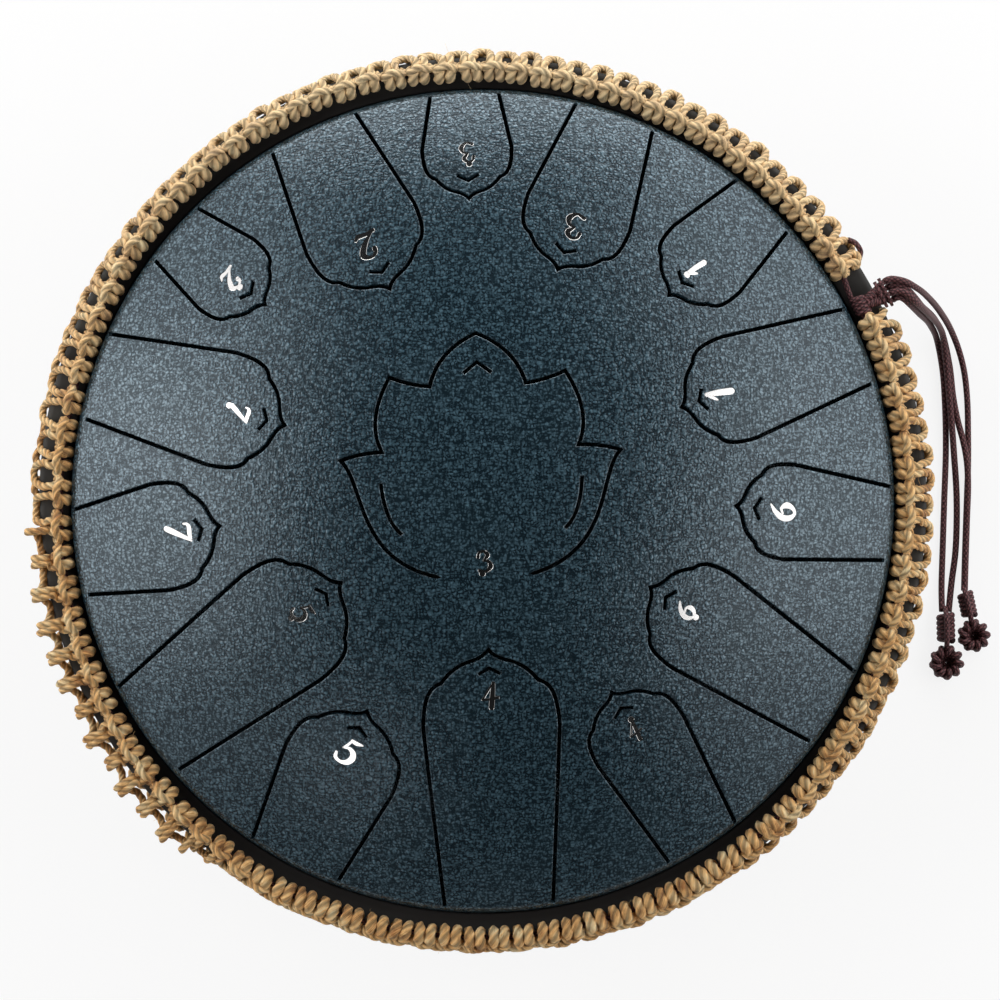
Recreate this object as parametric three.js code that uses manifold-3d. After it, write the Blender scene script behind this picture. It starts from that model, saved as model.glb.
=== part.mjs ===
// A steel tongue drum: two pressed shells joined at a flange, fifteen tongues slit into the dome,
// a rubber band round the rim, a knotted jute net over the band, and the cord that draws the net tight.
// Millimetres and degrees, +Z up. The origin is on the ground under the middle of the drum.
import * as THREE from 'three';
import { mergeVertices } from 'three/addons/utils/BufferGeometryUtils.js';
import Module from 'manifold-3d';

const wasm = await Module();
wasm.setup();

// Shells
const clearance = 0.3;
const roundSteps = 40;
const sheet = 1.5;
const bowlDepth = 72;
const bowlBaseRadius = 96;
const bowlKnuckle = 50;
const soundHoleRadius = 40;
const domeRise = 58.9;
const domeFootRadius = 166;
const domeFlankHeight = 10;
const domeFootSlope = 86;
const domeKnuckle = 6;
const flangeWidth = 9;

// Feet
const footCount = 3;
const footHeight = 8;
const footRadius = 9;
const footGroundRadius = 7.5;
const footTaper = 2.7;
const footCircleRadius = 82;
const footBearing = 90;

// Tongues: the slits, the fan of the tongues and the outline of their tips
const slitWidth = 1.6;
const slitEndInset = 2.5;
const patternTilt = 2.3;
const fanCentreOffset = 9.5;
const shoulderFlareLong = 5.2;
const shoulderFlareShort = 4.1;
const chevronBelowTip = 7.3;
const chevronSpan = 8.8;
const chevronDrop = 2.4;
const chevronWidth = 1.5;
// Half of a tip, as shares of the half width at the shoulder: across, and below the tip
const tipShoulder = [[1, 1.15], [0.985, 0.78], [0.93, 0.53], [0.711, 0.473]];
const tipLobe = [[0.711, 0.473], [0.53, 0.23], [0.278, 0.166]];
const tipPoint = [[0.278, 0.166], [0.072, 0.11], [0, 0]];
// Each row: name, bearing of its axis from the lowest tongue, length from root to tip, width at the root
const longTongues = [
  ['tongue_4', 0, 103.8, 43.4],
  ['tongue_low_6', 54.5, 88.8, 33.2],
  ['tongue_1', 106.9, 76.3, 31.8],
  ['tongue_3', 157.5, 66.8, 32.6],
  ['tongue_2', -156.3, 71.3, 36.8],
  ['tongue_low_7', -107, 79.5, 35.3],
  ['tongue_low_5', -55.3, 98.4, 41],
];
const shortTongues = [
  ['tongue_high_4', 28.8, 71.9, 31],
  ['tongue_6', 81.2, 62.9, 29.5],
  ['tongue_high_1', 131.8, 53.2, 29],
  ['tongue_high_3', 180.3, 43, 27.5],
  ['tongue_high_2', -130.8, 47.1, 27],
  ['tongue_7', -81.7, 58.6, 34.5],
  ['tongue_5', -28.3, 68, 38.4],
];

// Middle tongue, a lotus: half widths and heights from the middle of the drum
const lotusTop = 65.9;
const lotusNotch = [18.8, 45.6];
const lotusUpperTip = [34.5, 49.8];
const lotusWaist = [38.5, 20.6];
const lotusOuterTip = [54.9, 17.9];
const lotusRoot = [17.1, -29.4];
const lotusBellyPulls = [[51, -22], [45.5, 9]];
const lotusLeafPull = [47.5, 20.6];
const lotusSidePull = [44.5, 33];
const lotusCollarPull = [26, 46.2];
const lotusPetalPull = [15.4, 59.2];
const lotusVein = [[39.4, 8.4], [38.4, -6.5], [31.9, -11.9]];
const lotusChevronBelowTip = 11.4;
const lotusChevronSpan = 11;
const lotusChevronDrop = 4.3;

// Rubber band round the rim
const bandWall = 2.7;
const bandLip = 2.7;
const bandLipGap = 0.4;
const bandEdge = 2.5;

// Jute net and the cord that draws it
const twine = 3.8;
const ringCord = 2.3;
const ringCordSides = 5;
const hitchCount = 104;
const netGapStart = 25.8;
const netGapEnd = 31.8;
const knotInset = 5.4;
const knotWaistWall = 2;
const knotSides = 5;
const lacingSlack = 0.3;
const lacingTurnDrop = 22;
const lacingTurnTilt = 35;
const lacingTurnHalf = 2.4;

// Tie, tails and pendants
const tieBearing = 27.4;
const tieKnotSize = [8.4, 9, 8.2];
const plaitReach = 11;
const plaitDrop = 2;
const plaitInnerWidth = 5.6;
const plaitOuterWidth = 10.6;
const plaitHeight = 4.4;
const plaitStations = [0, 0.35, 0.7, 1];
const whippingFromEnd = 2.2;
const whippingLength = 1.6;
const whippingThickness = 0.7;
const tailSpacing = 2.65;
const tailLead = 2.5;
const tailStagger = 0.9;
const tailGroundGap = 0.1;
const tailSteps = 20;
const tailSides = 8;
const pendantA = { top: [195.1, -47], bearing: -88.5, barrel: [7.8, 13.3], flower: [15.2, 6] };
const pendantB = { top: [203.2, -38.2], bearing: -78, barrel: [7, 11.6], flower: [14.4, 5.6] };
const barrelWraps = 5;
const barrelGroove = 0.8;
const flowerLobes = 6;
const flowerLobeDepth = 1.6;
const flowerHole = 4.2;
const flowerEdgeShare = 0.25;

// Levels and radii that follow from the driving sizes
const baseLevel = footHeight;
const rimLevel = baseLevel + bowlDepth;
const slitEndRadius = domeFootRadius - slitEndInset;
const flangeTop = rimLevel + sheet;
const flangeBottom = rimLevel - sheet;
const flangeRadius = domeFootRadius + flangeWidth;
const bandOuterRadius = flangeRadius + clearance + bandWall;
const bandTop = flangeTop + clearance + bandLip;
const knotBulge = ringCord / 2 + twine;
const knotWaist = ringCord / 2 + clearance + knotWaistWall;
const knotCircleRadius = bandOuterRadius - knotInset;
const knotLevel = bandTop + clearance + knotBulge;
const hitchPitch = (360 - (netGapEnd - netGapStart)) / hitchCount;

const rad = THREE.MathUtils.degToRad;

// Finishes
function finish(color, roughness, metalness = 0) {
  return new THREE.MeshStandardMaterial({ color, roughness, metalness });
}

const navyCoat = finish(0x24404f, 0.5, 0.35);
const blackRubber = finish(0x2b2c2b, 0.8);
const jute = finish(0xc39a63, 0.9);
const maroonCord = finish(0x4a2b2c, 0.7);

const drum = new THREE.Group();
drum.name = 'tongue_drum';

// Closed geometry to a solid: corners are merged, flat triangles dropped, faces turned outward
function toSolid(geometry) {
  const bare = geometry.clone();
  bare.deleteAttribute('normal');
  bare.deleteAttribute('uv');
  const merged = mergeVertices(bare);
  const positions = merged.attributes.position.array;
  const corners = merged.index.array;
  const triangles = [];
  let volume = 0;
  const a = new THREE.Vector3();
  const b = new THREE.Vector3();
  const c = new THREE.Vector3();
  for (let i = 0; i < corners.length; i += 3) {
    const [p, q, r] = [corners[i], corners[i + 1], corners[i + 2]];
    if (p === q || q === r || r === p) continue;
    triangles.push([p, q, r]);
    a.fromArray(positions, p * 3);
    b.fromArray(positions, q * 3);
    c.fromArray(positions, r * 3);
    volume += a.dot(b.cross(c));
  }
  const outward = volume < 0 ? triangles.map(([p, q, r]) => [p, r, q]) : triangles;
  const mesh = new wasm.Mesh({
    numProp: 3,
    vertProperties: new Float32Array(positions),
    triVerts: new Uint32Array(outward.flat()),
  });
  return new wasm.Manifold(mesh);
}

function addPiece(name, solid, material) {
  const mesh = solid.getMesh();
  const geometry = new THREE.BufferGeometry();
  geometry.setAttribute('position', new THREE.BufferAttribute(new Float32Array(mesh.vertProperties), 3));
  geometry.setIndex(new THREE.BufferAttribute(new Uint32Array(mesh.triVerts), 1));
  geometry.computeVertexNormals();
  const piece = new THREE.Mesh(geometry, material);
  piece.name = name;
  drum.add(piece);
  return piece;
}

// Profile of [radius, height] points turned round the Z axis
function turned(profile, steps = roundSteps) {
  const points = profile.map(([radius, height]) => new THREE.Vector2(radius, height));
  return toSolid(new THREE.LatheGeometry(points, steps).rotateX(Math.PI / 2));
}

// Upright prism over a plan outline
function prism(outline, low, high) {
  const shape = new THREE.Shape(outline.map(([x, y]) => new THREE.Vector2(x, y)));
  const geometry = new THREE.ExtrudeGeometry(shape, { depth: high - low, bevelEnabled: false });
  return toSolid(geometry.translate(0, 0, low));
}

// Skin over rings of points with the same count, closed on itself or capped at both ends
function loft(rings, closed = false) {
  const sides = rings[0].length;
  const positions = rings.flat().flatMap((point) => point.toArray());
  const triangles = [];
  const spans = closed ? rings.length : rings.length - 1;
  for (let i = 0; i < spans; i += 1) {
    const next = (i + 1) % rings.length;
    for (let j = 0; j < sides; j += 1) {
      const k = (j + 1) % sides;
      triangles.push(i * sides + j, i * sides + k, next * sides + k);
      triangles.push(i * sides + j, next * sides + k, next * sides + j);
    }
  }
  const last = (rings.length - 1) * sides;
  for (let j = 1; j < sides - 1 && !closed; j += 1) {
    triangles.push(0, j + 1, j);
    triangles.push(last, last + j, last + j + 1);
  }
  const geometry = new THREE.BufferGeometry();
  geometry.setAttribute('position', new THREE.Float32BufferAttribute(positions, 3));
  geometry.setIndex(triangles);
  return toSolid(geometry);
}

// Point at a bearing round the drum
function around(radius, bearing, z) {
  return new THREE.Vector3(radius * Math.cos(rad(bearing)), radius * Math.sin(rad(bearing)), z);
}

// Ring cords and their bores share one round path of straight steps
function ringTube(radius, z) {
  const rings = [];
  for (let i = 0; i < roundSteps; i += 1) {
    const bearing = (i * 360) / roundSteps;
    const ring = [];
    for (let j = 0; j < ringCordSides; j += 1) {
      const turn = (j * 2 * Math.PI) / ringCordSides;
      ring.push(around(knotCircleRadius + radius * Math.cos(turn), bearing, z + radius * Math.sin(turn)));
    }
    rings.push(ring);
  }
  return loft(rings, true);
}

// Dome: a crown cap tangent to a knuckle, over a straight flank that leaves the flange at the foot slope
const footSin = Math.sin(rad(domeFootSlope));
const footCos = Math.cos(rad(domeFootSlope));
const flankInset = (domeFlankHeight * footCos) / footSin;
const knuckleCentreRadius = domeFootRadius - flankInset - domeKnuckle * footSin;
const knuckleCentreLevel = flangeTop + domeFlankHeight - domeKnuckle * footCos;
const crownToKnuckle = flangeTop + domeRise - knuckleCentreLevel;
const crownRadius = (knuckleCentreRadius ** 2 + crownToKnuckle ** 2 - domeKnuckle ** 2)
  / (2 * (crownToKnuckle - domeKnuckle));
const crownCentreLevel = flangeTop + domeRise - crownRadius;
const crownAngle = Math.asin(knuckleCentreRadius / (crownRadius - domeKnuckle));
const crownSteps = 4;
const knuckleSteps = 2;

// Meridian of the dome, from the top to the head of the flank, a depth below the outer face
function domeMeridian(depth) {
  const points = [[0, crownCentreLevel + crownRadius - depth]];
  for (let i = 1; i <= crownSteps; i += 1) {
    const angle = (crownAngle * i) / crownSteps;
    const reach = crownRadius - depth;
    points.push([reach * Math.sin(angle), crownCentreLevel + reach * Math.cos(angle)]);
  }
  for (let i = 1; i <= knuckleSteps; i += 1) {
    const angle = crownAngle + ((rad(domeFootSlope) - crownAngle) * i) / knuckleSteps;
    const reach = domeKnuckle - depth;
    const radius = knuckleCentreRadius + reach * Math.sin(angle);
    points.push([radius, knuckleCentreLevel + reach * Math.cos(angle)]);
  }
  return points;
}

// Height of the dome's face at a radius, a depth below the outer face
function domeLevel(radius, depth) {
  const crownEdge = (crownRadius - depth) * Math.sin(crownAngle);
  if (radius <= crownEdge) {
    return crownCentreLevel + Math.sqrt((crownRadius - depth) ** 2 - radius ** 2);
  }
  return knuckleCentreLevel + Math.sqrt((domeKnuckle - depth) ** 2 - (radius - knuckleCentreRadius) ** 2);
}

const innerFace = domeMeridian(sheet);
const [innerFlankRadius, innerFlankLevel] = innerFace[innerFace.length - 1];
const innerFlangeRadius = innerFlankRadius + ((innerFlankLevel - rimLevel) * footCos) / footSin;
const domeBlank = turned([
  ...domeMeridian(0),
  [domeFootRadius, flangeTop],
  [flangeRadius, flangeTop],
  [flangeRadius, rimLevel],
  [innerFlangeRadius, rimLevel],
  ...innerFace.reverse(),
]);

// Half outline of a tongue from its root to its tip, across and along, with a cusped tip between two lobes
function tongueHalf(length, rootHalf, shoulderHalf) {
  const at = ([across, below]) => new THREE.Vector2(across * shoulderHalf, length - below * shoulderHalf);
  const shoulder = new THREE.CubicBezierCurve(...tipShoulder.map(at));
  const lobe = new THREE.QuadraticBezierCurve(...tipLobe.map(at));
  const point = new THREE.QuadraticBezierCurve(...tipPoint.map(at));
  return [
    new THREE.Vector2(rootHalf, 0),
    ...shoulder.getPoints(3),
    ...lobe.getPoints(2).slice(1),
    ...point.getPoints(2).slice(1),
  ];
}

// Half outline of the lotus from its root to its top
function lotusHalf() {
  const at = ([across, up]) => new THREE.Vector2(across, up);
  const root = at(lotusRoot);
  const outerTip = at(lotusOuterTip);
  const waist = at(lotusWaist);
  const upperTip = at(lotusUpperTip);
  const notch = at(lotusNotch);
  const top = at([0, lotusTop]);
  const belly = new THREE.CubicBezierCurve(root, ...lotusBellyPulls.map(at), outerTip);
  const leaf = new THREE.QuadraticBezierCurve(outerTip, at(lotusLeafPull), waist);
  const side = new THREE.QuadraticBezierCurve(waist, at(lotusSidePull), upperTip);
  const collar = new THREE.QuadraticBezierCurve(upperTip, at(lotusCollarPull), notch);
  const petal = new THREE.QuadraticBezierCurve(notch, at(lotusPetalPull), top);
  return [
    ...belly.getPoints(6),
    ...leaf.getPoints(2).slice(1),
    ...side.getPoints(3).slice(1),
    ...collar.getPoints(2).slice(1),
    ...petal.getPoints(3).slice(1),
  ];
}

// Whole outline from one root corner over the tip to the other
function mirrored(half) {
  const other = half.slice(0, -1).reverse().map((point) => new THREE.Vector2(-point.x, point.y));
  return [...half, ...other];
}

// Line of points moved sideways by a distance, with mitred corners
function offset(points, distance) {
  const normals = points.slice(1).map((point, i) => {
    const along = point.clone().sub(points[i]).normalize();
    return new THREE.Vector2(along.y, -along.x);
  });
  return points.map((point, i) => {
    const before = normals[Math.max(i - 1, 0)];
    const after = normals[Math.min(i, normals.length - 1)];
    const mitre = before.clone().add(after).normalize();
    return point.clone().addScaledVector(mitre, distance / mitre.dot(after));
  });
}

// Slit round an open line of points: out along one side and back along the other
function slit(points, width) {
  return [...offset(points, width / 2), ...offset(points, -width / 2).reverse()];
}

const fanCentre = new THREE.Vector2(0, fanCentreOffset);
const patternTurn = rad(patternTilt);
const origin2 = new THREE.Vector2();
const cutLow = rimLevel + sheet;
const cutHigh = flangeTop + domeRise + sheet;

// Tongue cut out of the dome by its outline, which its own frame places in plan
function addTongue(name, outline, veins, place, rootMiddle) {
  const inPlan = (point) => place(point).rotateAround(origin2, patternTurn);
  const planOf = (points) => points.map((point) => inPlan(point).toArray());
  const rootLevel = outline[0].y;
  const atRoot = (points, level) => points.map((point, i) => (
    i === 0 || i === points.length - 1 ? new THREE.Vector2(point.x, level) : point));
  const hole = atRoot(offset(outline, slitWidth / 2), rootLevel - clearance / 2);
  const blade = atRoot(offset(outline, -slitWidth / 2), rootLevel + clearance / 2);
  let tongue = domeBlank.intersect(prism(planOf(blade), cutLow, cutHigh));
  for (const vein of veins) {
    tongue = tongue.subtract(prism(planOf(vein), cutLow, cutHigh));
  }
  const piece = addPiece(name, tongue, navyCoat);
  const middle = inPlan(rootMiddle);
  const axis = inPlan(outline[0]).sub(middle).normalize();
  const level = (domeLevel(middle.length(), 0) + domeLevel(middle.length(), sheet)) / 2;
  piece.userData.hinge = { point: [middle.x, middle.y, level], axis: [axis.x, axis.y, 0] };
  return prism(planOf(hole), cutLow, cutHigh);
}

// Chevron slit below a tip
function chevron(tip, below, span, drop) {
  const points = [
    new THREE.Vector2(span / 2, tip - below - drop),
    new THREE.Vector2(0, tip - below),
    new THREE.Vector2(-span / 2, tip - below - drop),
  ];
  return slit(points, chevronWidth);
}

let upperShell = domeBlank;

// Fan of tongues: every axis runs through the fan centre, every slit ends on one circle
function addFan(tongues, shoulderFlare) {
  for (const [name, bearing, length, rootWidth] of tongues) {
    const outward = new THREE.Vector2(Math.sin(rad(bearing)), -Math.cos(rad(bearing)));
    const across = new THREE.Vector2(-outward.y, outward.x);
    const along = fanCentre.dot(outward);
    const rootRadiusSquared = slitEndRadius ** 2 - (rootWidth / 2) ** 2;
    const reach = -along + Math.sqrt(along ** 2 - fanCentre.lengthSq() + rootRadiusSquared);
    const root = fanCentre.clone().addScaledVector(outward, reach);
    const place = (point) => (
      root.clone().addScaledVector(across, point.x).addScaledVector(outward, -point.y));
    const outline = mirrored(tongueHalf(length, rootWidth / 2, rootWidth / 2 + shoulderFlare));
    const mark = chevron(length, chevronBelowTip, chevronSpan, chevronDrop);
    upperShell = upperShell.subtract(addTongue(name, outline, [mark], place, origin2));
  }
}

addFan(longTongues, shoulderFlareLong);
addFan(shortTongues, shoulderFlareShort);

// Middle tongue, with a vein in each outer leaf
function addLotus() {
  const [start, bend, end] = lotusVein.map(([across, up]) => new THREE.Vector2(across, up));
  const vein = new THREE.QuadraticBezierCurve(start, bend, end).getPoints(3);
  const otherVein = vein.map((point) => new THREE.Vector2(-point.x, point.y));
  const mark = chevron(lotusTop, lotusChevronBelowTip, lotusChevronSpan, lotusChevronDrop);
  const cuts = [slit(vein, chevronWidth), slit(otherVein, chevronWidth), mark];
  const rootMiddle = new THREE.Vector2(0, lotusRoot[1]);
  const place = (point) => point.clone();
  const outline = mirrored(lotusHalf());
  upperShell = upperShell.subtract(addTongue('tongue_low_3', outline, cuts, place, rootMiddle));
}

addLotus();
addPiece('upper_shell', upperShell, navyCoat);

// Lower shell: a flat base with the sound hole, a round knuckle and a straight wall up to the flange
function addLowerShell() {
  const knuckleLevel = baseLevel + bowlKnuckle;
  const toFoot = new THREE.Vector2(domeFootRadius - bowlBaseRadius, flangeBottom - knuckleLevel);
  const wallAngle = toFoot.angle() - Math.acos(bowlKnuckle / toFoot.length());
  const knuckleStart = -Math.PI / 2;
  const bowlSteps = 3;
  const knuckle = (reach) => {
    const points = [];
    for (let i = 0; i <= bowlSteps; i += 1) {
      const angle = knuckleStart + ((wallAngle - knuckleStart) * i) / bowlSteps;
      points.push([bowlBaseRadius + reach * Math.cos(angle), knuckleLevel + reach * Math.sin(angle)]);
    }
    return points;
  };
  const inner = knuckle(bowlKnuckle - sheet);
  const [wallRadius, wallLevel] = inner[inner.length - 1];
  const wallTopRadius = wallRadius + (wallLevel - rimLevel) * Math.tan(wallAngle);
  const profile = [
    [soundHoleRadius, baseLevel],
    ...knuckle(bowlKnuckle),
    [domeFootRadius, flangeBottom],
    [flangeRadius, flangeBottom],
    [flangeRadius, rimLevel],
    [wallTopRadius, rimLevel],
    ...inner.reverse(),
    [soundHoleRadius, baseLevel + sheet],
    [soundHoleRadius, baseLevel],
  ];
  addPiece('lower_shell', turned(profile), navyCoat);
}

addLowerShell();

// Rubber band: a channel that grips both flanges
function addRimBand() {
  const lipRadius = domeFootRadius + bandLipGap;
  const slotRadius = flangeRadius + clearance;
  const slotTop = flangeTop + clearance;
  const mirrorLevel = (level) => 2 * rimLevel - level;
  const upper = [
    [slotRadius, slotTop],
    [lipRadius, slotTop],
    [lipRadius, bandTop],
    [bandOuterRadius - bandEdge, bandTop],
    [bandOuterRadius, bandTop - bandEdge],
  ];
  const lower = upper.map(([radius, level]) => [radius, mirrorLevel(level)]).reverse();
  addPiece('rim_band', turned([...upper, ...lower, upper[0]]), blackRubber);
}

addRimBand();

// Ring cords and the rows of hitches tied round them
function addKnotRow(name, level, towardBand, firstIsKnot) {
  const rings = [];
  const halfPitch = hitchPitch / 2;
  for (let i = 0; i <= 2 * hitchCount; i += 1) {
    const isKnot = (i % 2 === 0) === firstIsKnot;
    const radius = isKnot ? knotBulge : knotWaist;
    const ring = [];
    for (let j = 0; j < knotSides; j += 1) {
      const turn = towardBand * (Math.PI / 2) + (j * 2 * Math.PI) / knotSides;
      const place = knotCircleRadius + radius * Math.cos(turn);
      ring.push(around(place, netGapEnd + i * halfPitch, level + radius * Math.sin(turn)));
    }
    rings.push(ring);
  }
  addPiece(name, loft(rings).subtract(ringTube(ringCord / 2 + clearance, level)), jute);
}

const rearKnotLevel = 2 * rimLevel - knotLevel;
addPiece('front_ring_cord', ringTube(ringCord / 2, knotLevel), maroonCord);
addPiece('rear_ring_cord', ringTube(ringCord / 2, rearKnotLevel), maroonCord);
addKnotRow('front_knot_row', knotLevel, -1, false);
addKnotRow('rear_knot_row', rearKnotLevel, 1, true);

// Least distance between the corners of steps that aren't neighbours
function leastGap(rings) {
  let least = Infinity;
  rings.forEach((ring, i) => {
    for (const other of rings.slice(i + 2)) {
      for (const corner of ring) {
        for (const point of other) least = Math.min(least, corner.distanceTo(point));
      }
    }
  });
  return least;
}

// Lacing: one length of twine that runs to and fro over the band between the two rows
function addLacing() {
  const half = twine / 2;
  const turnReach = knotBulge + clearance + twine;
  const turnRadius = knotCircleRadius + turnReach * Math.cos(rad(lacingTurnDrop));
  const turnLevel = knotLevel - turnReach * Math.sin(rad(lacingTurnDrop)) - rimLevel;
  const bandRadius = bandOuterRadius + clearance + lacingSlack + half;
  const strokes = [1, 0, -1, 0];
  const quarterPitch = hitchPitch / 4;
  const stepCount = (hitchCount - 1) * strokes.length;
  const bearingAt = (i) => netGapEnd + hitchPitch / 2 + i * quarterPitch;
  const sideOf = (i) => strokes[(i + strokes.length) % strokes.length];
  const pointAt = (i) => {
    const radius = sideOf(i) ? turnRadius : bandRadius;
    return around(radius, bearingAt(i), rimLevel + sideOf(i) * turnLevel);
  };
  const rings = [];
  for (let i = 0; i <= stepCount; i += 1) {
    const side = sideOf(i);
    const centre = pointAt(i);
    const tilt = rad(lacingTurnTilt * side);
    const facing = around(Math.cos(tilt), bearingAt(i), Math.sin(tilt));
    const along = pointAt(i + 1).sub(pointAt(i - 1));
    const across = facing.clone().cross(along).normalize();
    const reach = side ? lacingTurnHalf : half;
    rings.push([[1, 1], [1, -1], [-1, -1], [-1, 1]].map(([out, over]) => (
      centre.clone().addScaledVector(facing, out * half).addScaledVector(across, over * reach))));
  }
  console.log(`rim_lacing: least gap to itself ${leastGap(rings).toFixed(2)} mm`);
  addPiece('rim_lacing', loft(rings), jute);
}

addLacing();

// Tie: a knot round the front ring cord in the gap of the net, and the plait that leads out over the rim
const tieOut = around(1, tieBearing, 0);
const tieAcross = around(1, tieBearing + 90, 0);
const tieStart = around(knotCircleRadius, tieBearing, knotLevel);

// Flat oval ring across the plait, some way out from the tie knot
function plaitRing(out, extra) {
  const share = out / plaitReach;
  const width = plaitInnerWidth + (plaitOuterWidth - plaitInnerWidth) * share;
  const centre = tieStart.clone().addScaledVector(tieOut, out);
  centre.z -= plaitDrop * share ** 2;
  const ring = [];
  for (let j = 0; j < tailSides; j += 1) {
    const turn = (j * 2 * Math.PI) / tailSides;
    const side = (width / 2 + extra) * Math.cos(turn);
    const up = (plaitHeight / 2 + extra) * Math.sin(turn);
    ring.push(centre.clone().addScaledVector(tieAcross, side).setZ(centre.z + up));
  }
  return ring;
}

function addTie() {
  const [deep, wide, tall] = tieKnotSize;
  const knotColumns = 8;
  const knotRows = 6;
  const ball = new THREE.SphereGeometry(1 / 2, knotColumns, knotRows).scale(deep, wide, tall);
  ball.rotateZ(rad(tieBearing)).translate(...tieStart.toArray());
  const knot = toSolid(ball);
  const plait = loft(plaitStations.map((share) => plaitRing(share * plaitReach, 0)));
  const bore = ringTube(ringCord / 2 + clearance, knotLevel);
  addPiece('tie_knot', knot.add(plait).subtract(bore), maroonCord);
  const outer = plaitReach - whippingFromEnd;
  const inner = outer - whippingLength;
  const beyond = whippingLength / 2;
  const sleeve = loft([inner, outer].map((out) => plaitRing(out, clearance + whippingThickness)));
  const hole = loft([inner - beyond, outer + beyond].map((out) => plaitRing(out, clearance)));
  addPiece('tie_whipping', sleeve.subtract(hole), maroonCord);
}

addTie();

// Tails: four cord ends that leave the plait side by side, drop beside the rim and lie on the ground.
// Each row: name, place across the plait counted in tail spacings, side of the plait (up or down),
// and the points of its route
const groundLine = ringCord / 2 + tailGroundGap;
const stacked = groundLine + ringCord + clearance + tailGroundGap;
const tailRoutes = [
  ['tail_a_left', -1.5, -1, [
    [169.8, 81.4, 86], [172, 79.8, 83.5], [177.5, 76.6, 68], [187.1, 73.3, 22], [191.6, 67.8, 4.5],
    [194, 57, groundLine], [195.2, 42, groundLine], [195.6, 22, groundLine], [194.9, 0, groundLine],
    [194.2, -22, groundLine], [193.7, -37, 2], [193.7, -46.7, 4]]],
  ['tail_a_right', -0.5, 1, [
    [170.4, 83.6, 89], [173.8, 80.7, 87.2], [180.4, 77.1, 69], [190.4, 72.9, 23.5], [193.7, 68.9, 9],
    [195.6, 57.3, 4.1], [197, 42.4, 4.1], [198, 30, 4.1], [199, 18, 3], [200, 6, groundLine],
    [200.2, -8, groundLine], [199.6, -22, 1.5], [198, -34, 2], [196.5, -46.7, 4]]],
  ['tail_b_left', 0.5, -1, [
    [170.9, 85.4, 86], [173.6, 83, 83.7], [178.5, 79.6, 68], [188.8, 75.8, 22.5], [194.1, 69.6, 4.6],
    [197.1, 57.6, groundLine], [198.7, 44, groundLine], [200.6, 34, 1.6], [202.8, 25, 3.4],
    [204.2, 17, stacked], [204.7, 7, stacked], [204.2, -8, stacked], [203.6, -26, 4.2], [203.2, -37.9, 4.9]]],
  ['tail_b_right', 1.5, 1, [
    [169.2, 88.6, 88.3], [175, 86.3, 81.5], [182.9, 83, 57], [190.4, 78.3, 31], [197, 71.6, 10],
    [200.9, 64, 2.5], [203.2, 55.6, groundLine], [204.6, 43.7, groundLine], [205, 28, groundLine],
    [205, 15, groundLine], [204.6, 3, groundLine], [204.2, -8, groundLine], [203.6, -26, 1.5],
    [203.2, -37.9, 2.2]]],
];

function addTail(name, place, side, route) {
  const start = tieStart.clone().addScaledVector(tieOut, plaitReach + clearance);
  start.addScaledVector(tieAcross, place * tailSpacing);
  start.z += side * tailStagger - plaitDrop;
  const lead = start.clone().addScaledVector(tieOut, tailLead);
  const points = route.map((point) => new THREE.Vector3(...point));
  const extrudePath = new THREE.CatmullRomCurve3([start, lead, ...points]);
  const section = new THREE.Shape();
  section.absarc(0, 0, ringCord / 2, 0, 2 * Math.PI);
  const outline = new THREE.Shape(section.getSpacedPoints(tailSides).slice(0, -1));
  const geometry = new THREE.ExtrudeGeometry(outline, { steps: tailSteps, extrudePath });
  addPiece(name, toSolid(geometry), maroonCord);
}

for (const row of tailRoutes) addTail(...row);

// Pendants: a wrapped barrel knot and below it a looped flower knot, both lying on the ground
function addPendant(letter, { top, bearing, barrel, flower }) {
  const [barrelWidth, barrelLength] = barrel;
  const [flowerWidth, flowerHeight] = flower;
  const profile = [[0, 0]];
  const endRadius = barrelWidth / 2 - barrelGroove;
  const wrap = barrelLength / barrelWraps;
  for (let i = 0; i < barrelWraps; i += 1) {
    profile.push([endRadius, i * wrap]);
    profile.push([barrelWidth / 2, i * wrap + wrap / 2]);
  }
  profile.push([endRadius, barrelLength], [0, barrelLength]);
  const barrelSides = 8;
  const points = profile.map(([radius, along]) => new THREE.Vector2(radius, along));
  const barrelShape = new THREE.LatheGeometry(points, barrelSides).rotateZ(rad(bearing - 90));
  const level = barrelWidth / 2 + clearance;
  addPiece(`barrel_knot_${letter}`, toSolid(barrelShape.translate(...top, level)), maroonCord);

  const reach = barrelLength + clearance + flowerWidth / 2;
  const middle = [top[0] + reach * Math.cos(rad(bearing)), top[1] + reach * Math.sin(rad(bearing))];
  const outline = [];
  const lobeSteps = 4;
  const steps = flowerLobes * lobeSteps;
  for (let i = 0; i < steps; i += 1) {
    const turn = (i * 2 * Math.PI) / steps;
    const radius = flowerWidth / 2 - (flowerLobeDepth / 2) * (1 - Math.cos(turn * flowerLobes));
    const heading = turn + rad(bearing + 180);
    outline.push(new THREE.Vector2(radius * Math.cos(heading), radius * Math.sin(heading)));
  }
  const shape = new THREE.Shape(outline);
  const hole = new THREE.Path();
  hole.absarc(0, 0, flowerHole / 2, 0, 2 * Math.PI, true);
  shape.holes.push(hole);
  const edge = flowerHeight * flowerEdgeShare;
  const flowerShape = new THREE.ExtrudeGeometry(shape, {
    depth: flowerHeight - 2 * edge,
    curveSegments: 2,
    bevelSegments: 1,
    bevelThickness: edge,
    bevelSize: edge,
    bevelOffset: -edge,
  });
  flowerShape.translate(...middle, edge + clearance);
  addPiece(`flower_knot_${letter}`, toSolid(flowerShape), maroonCord);
}

addPendant('a', pendantA);
addPendant('b', pendantB);

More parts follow.
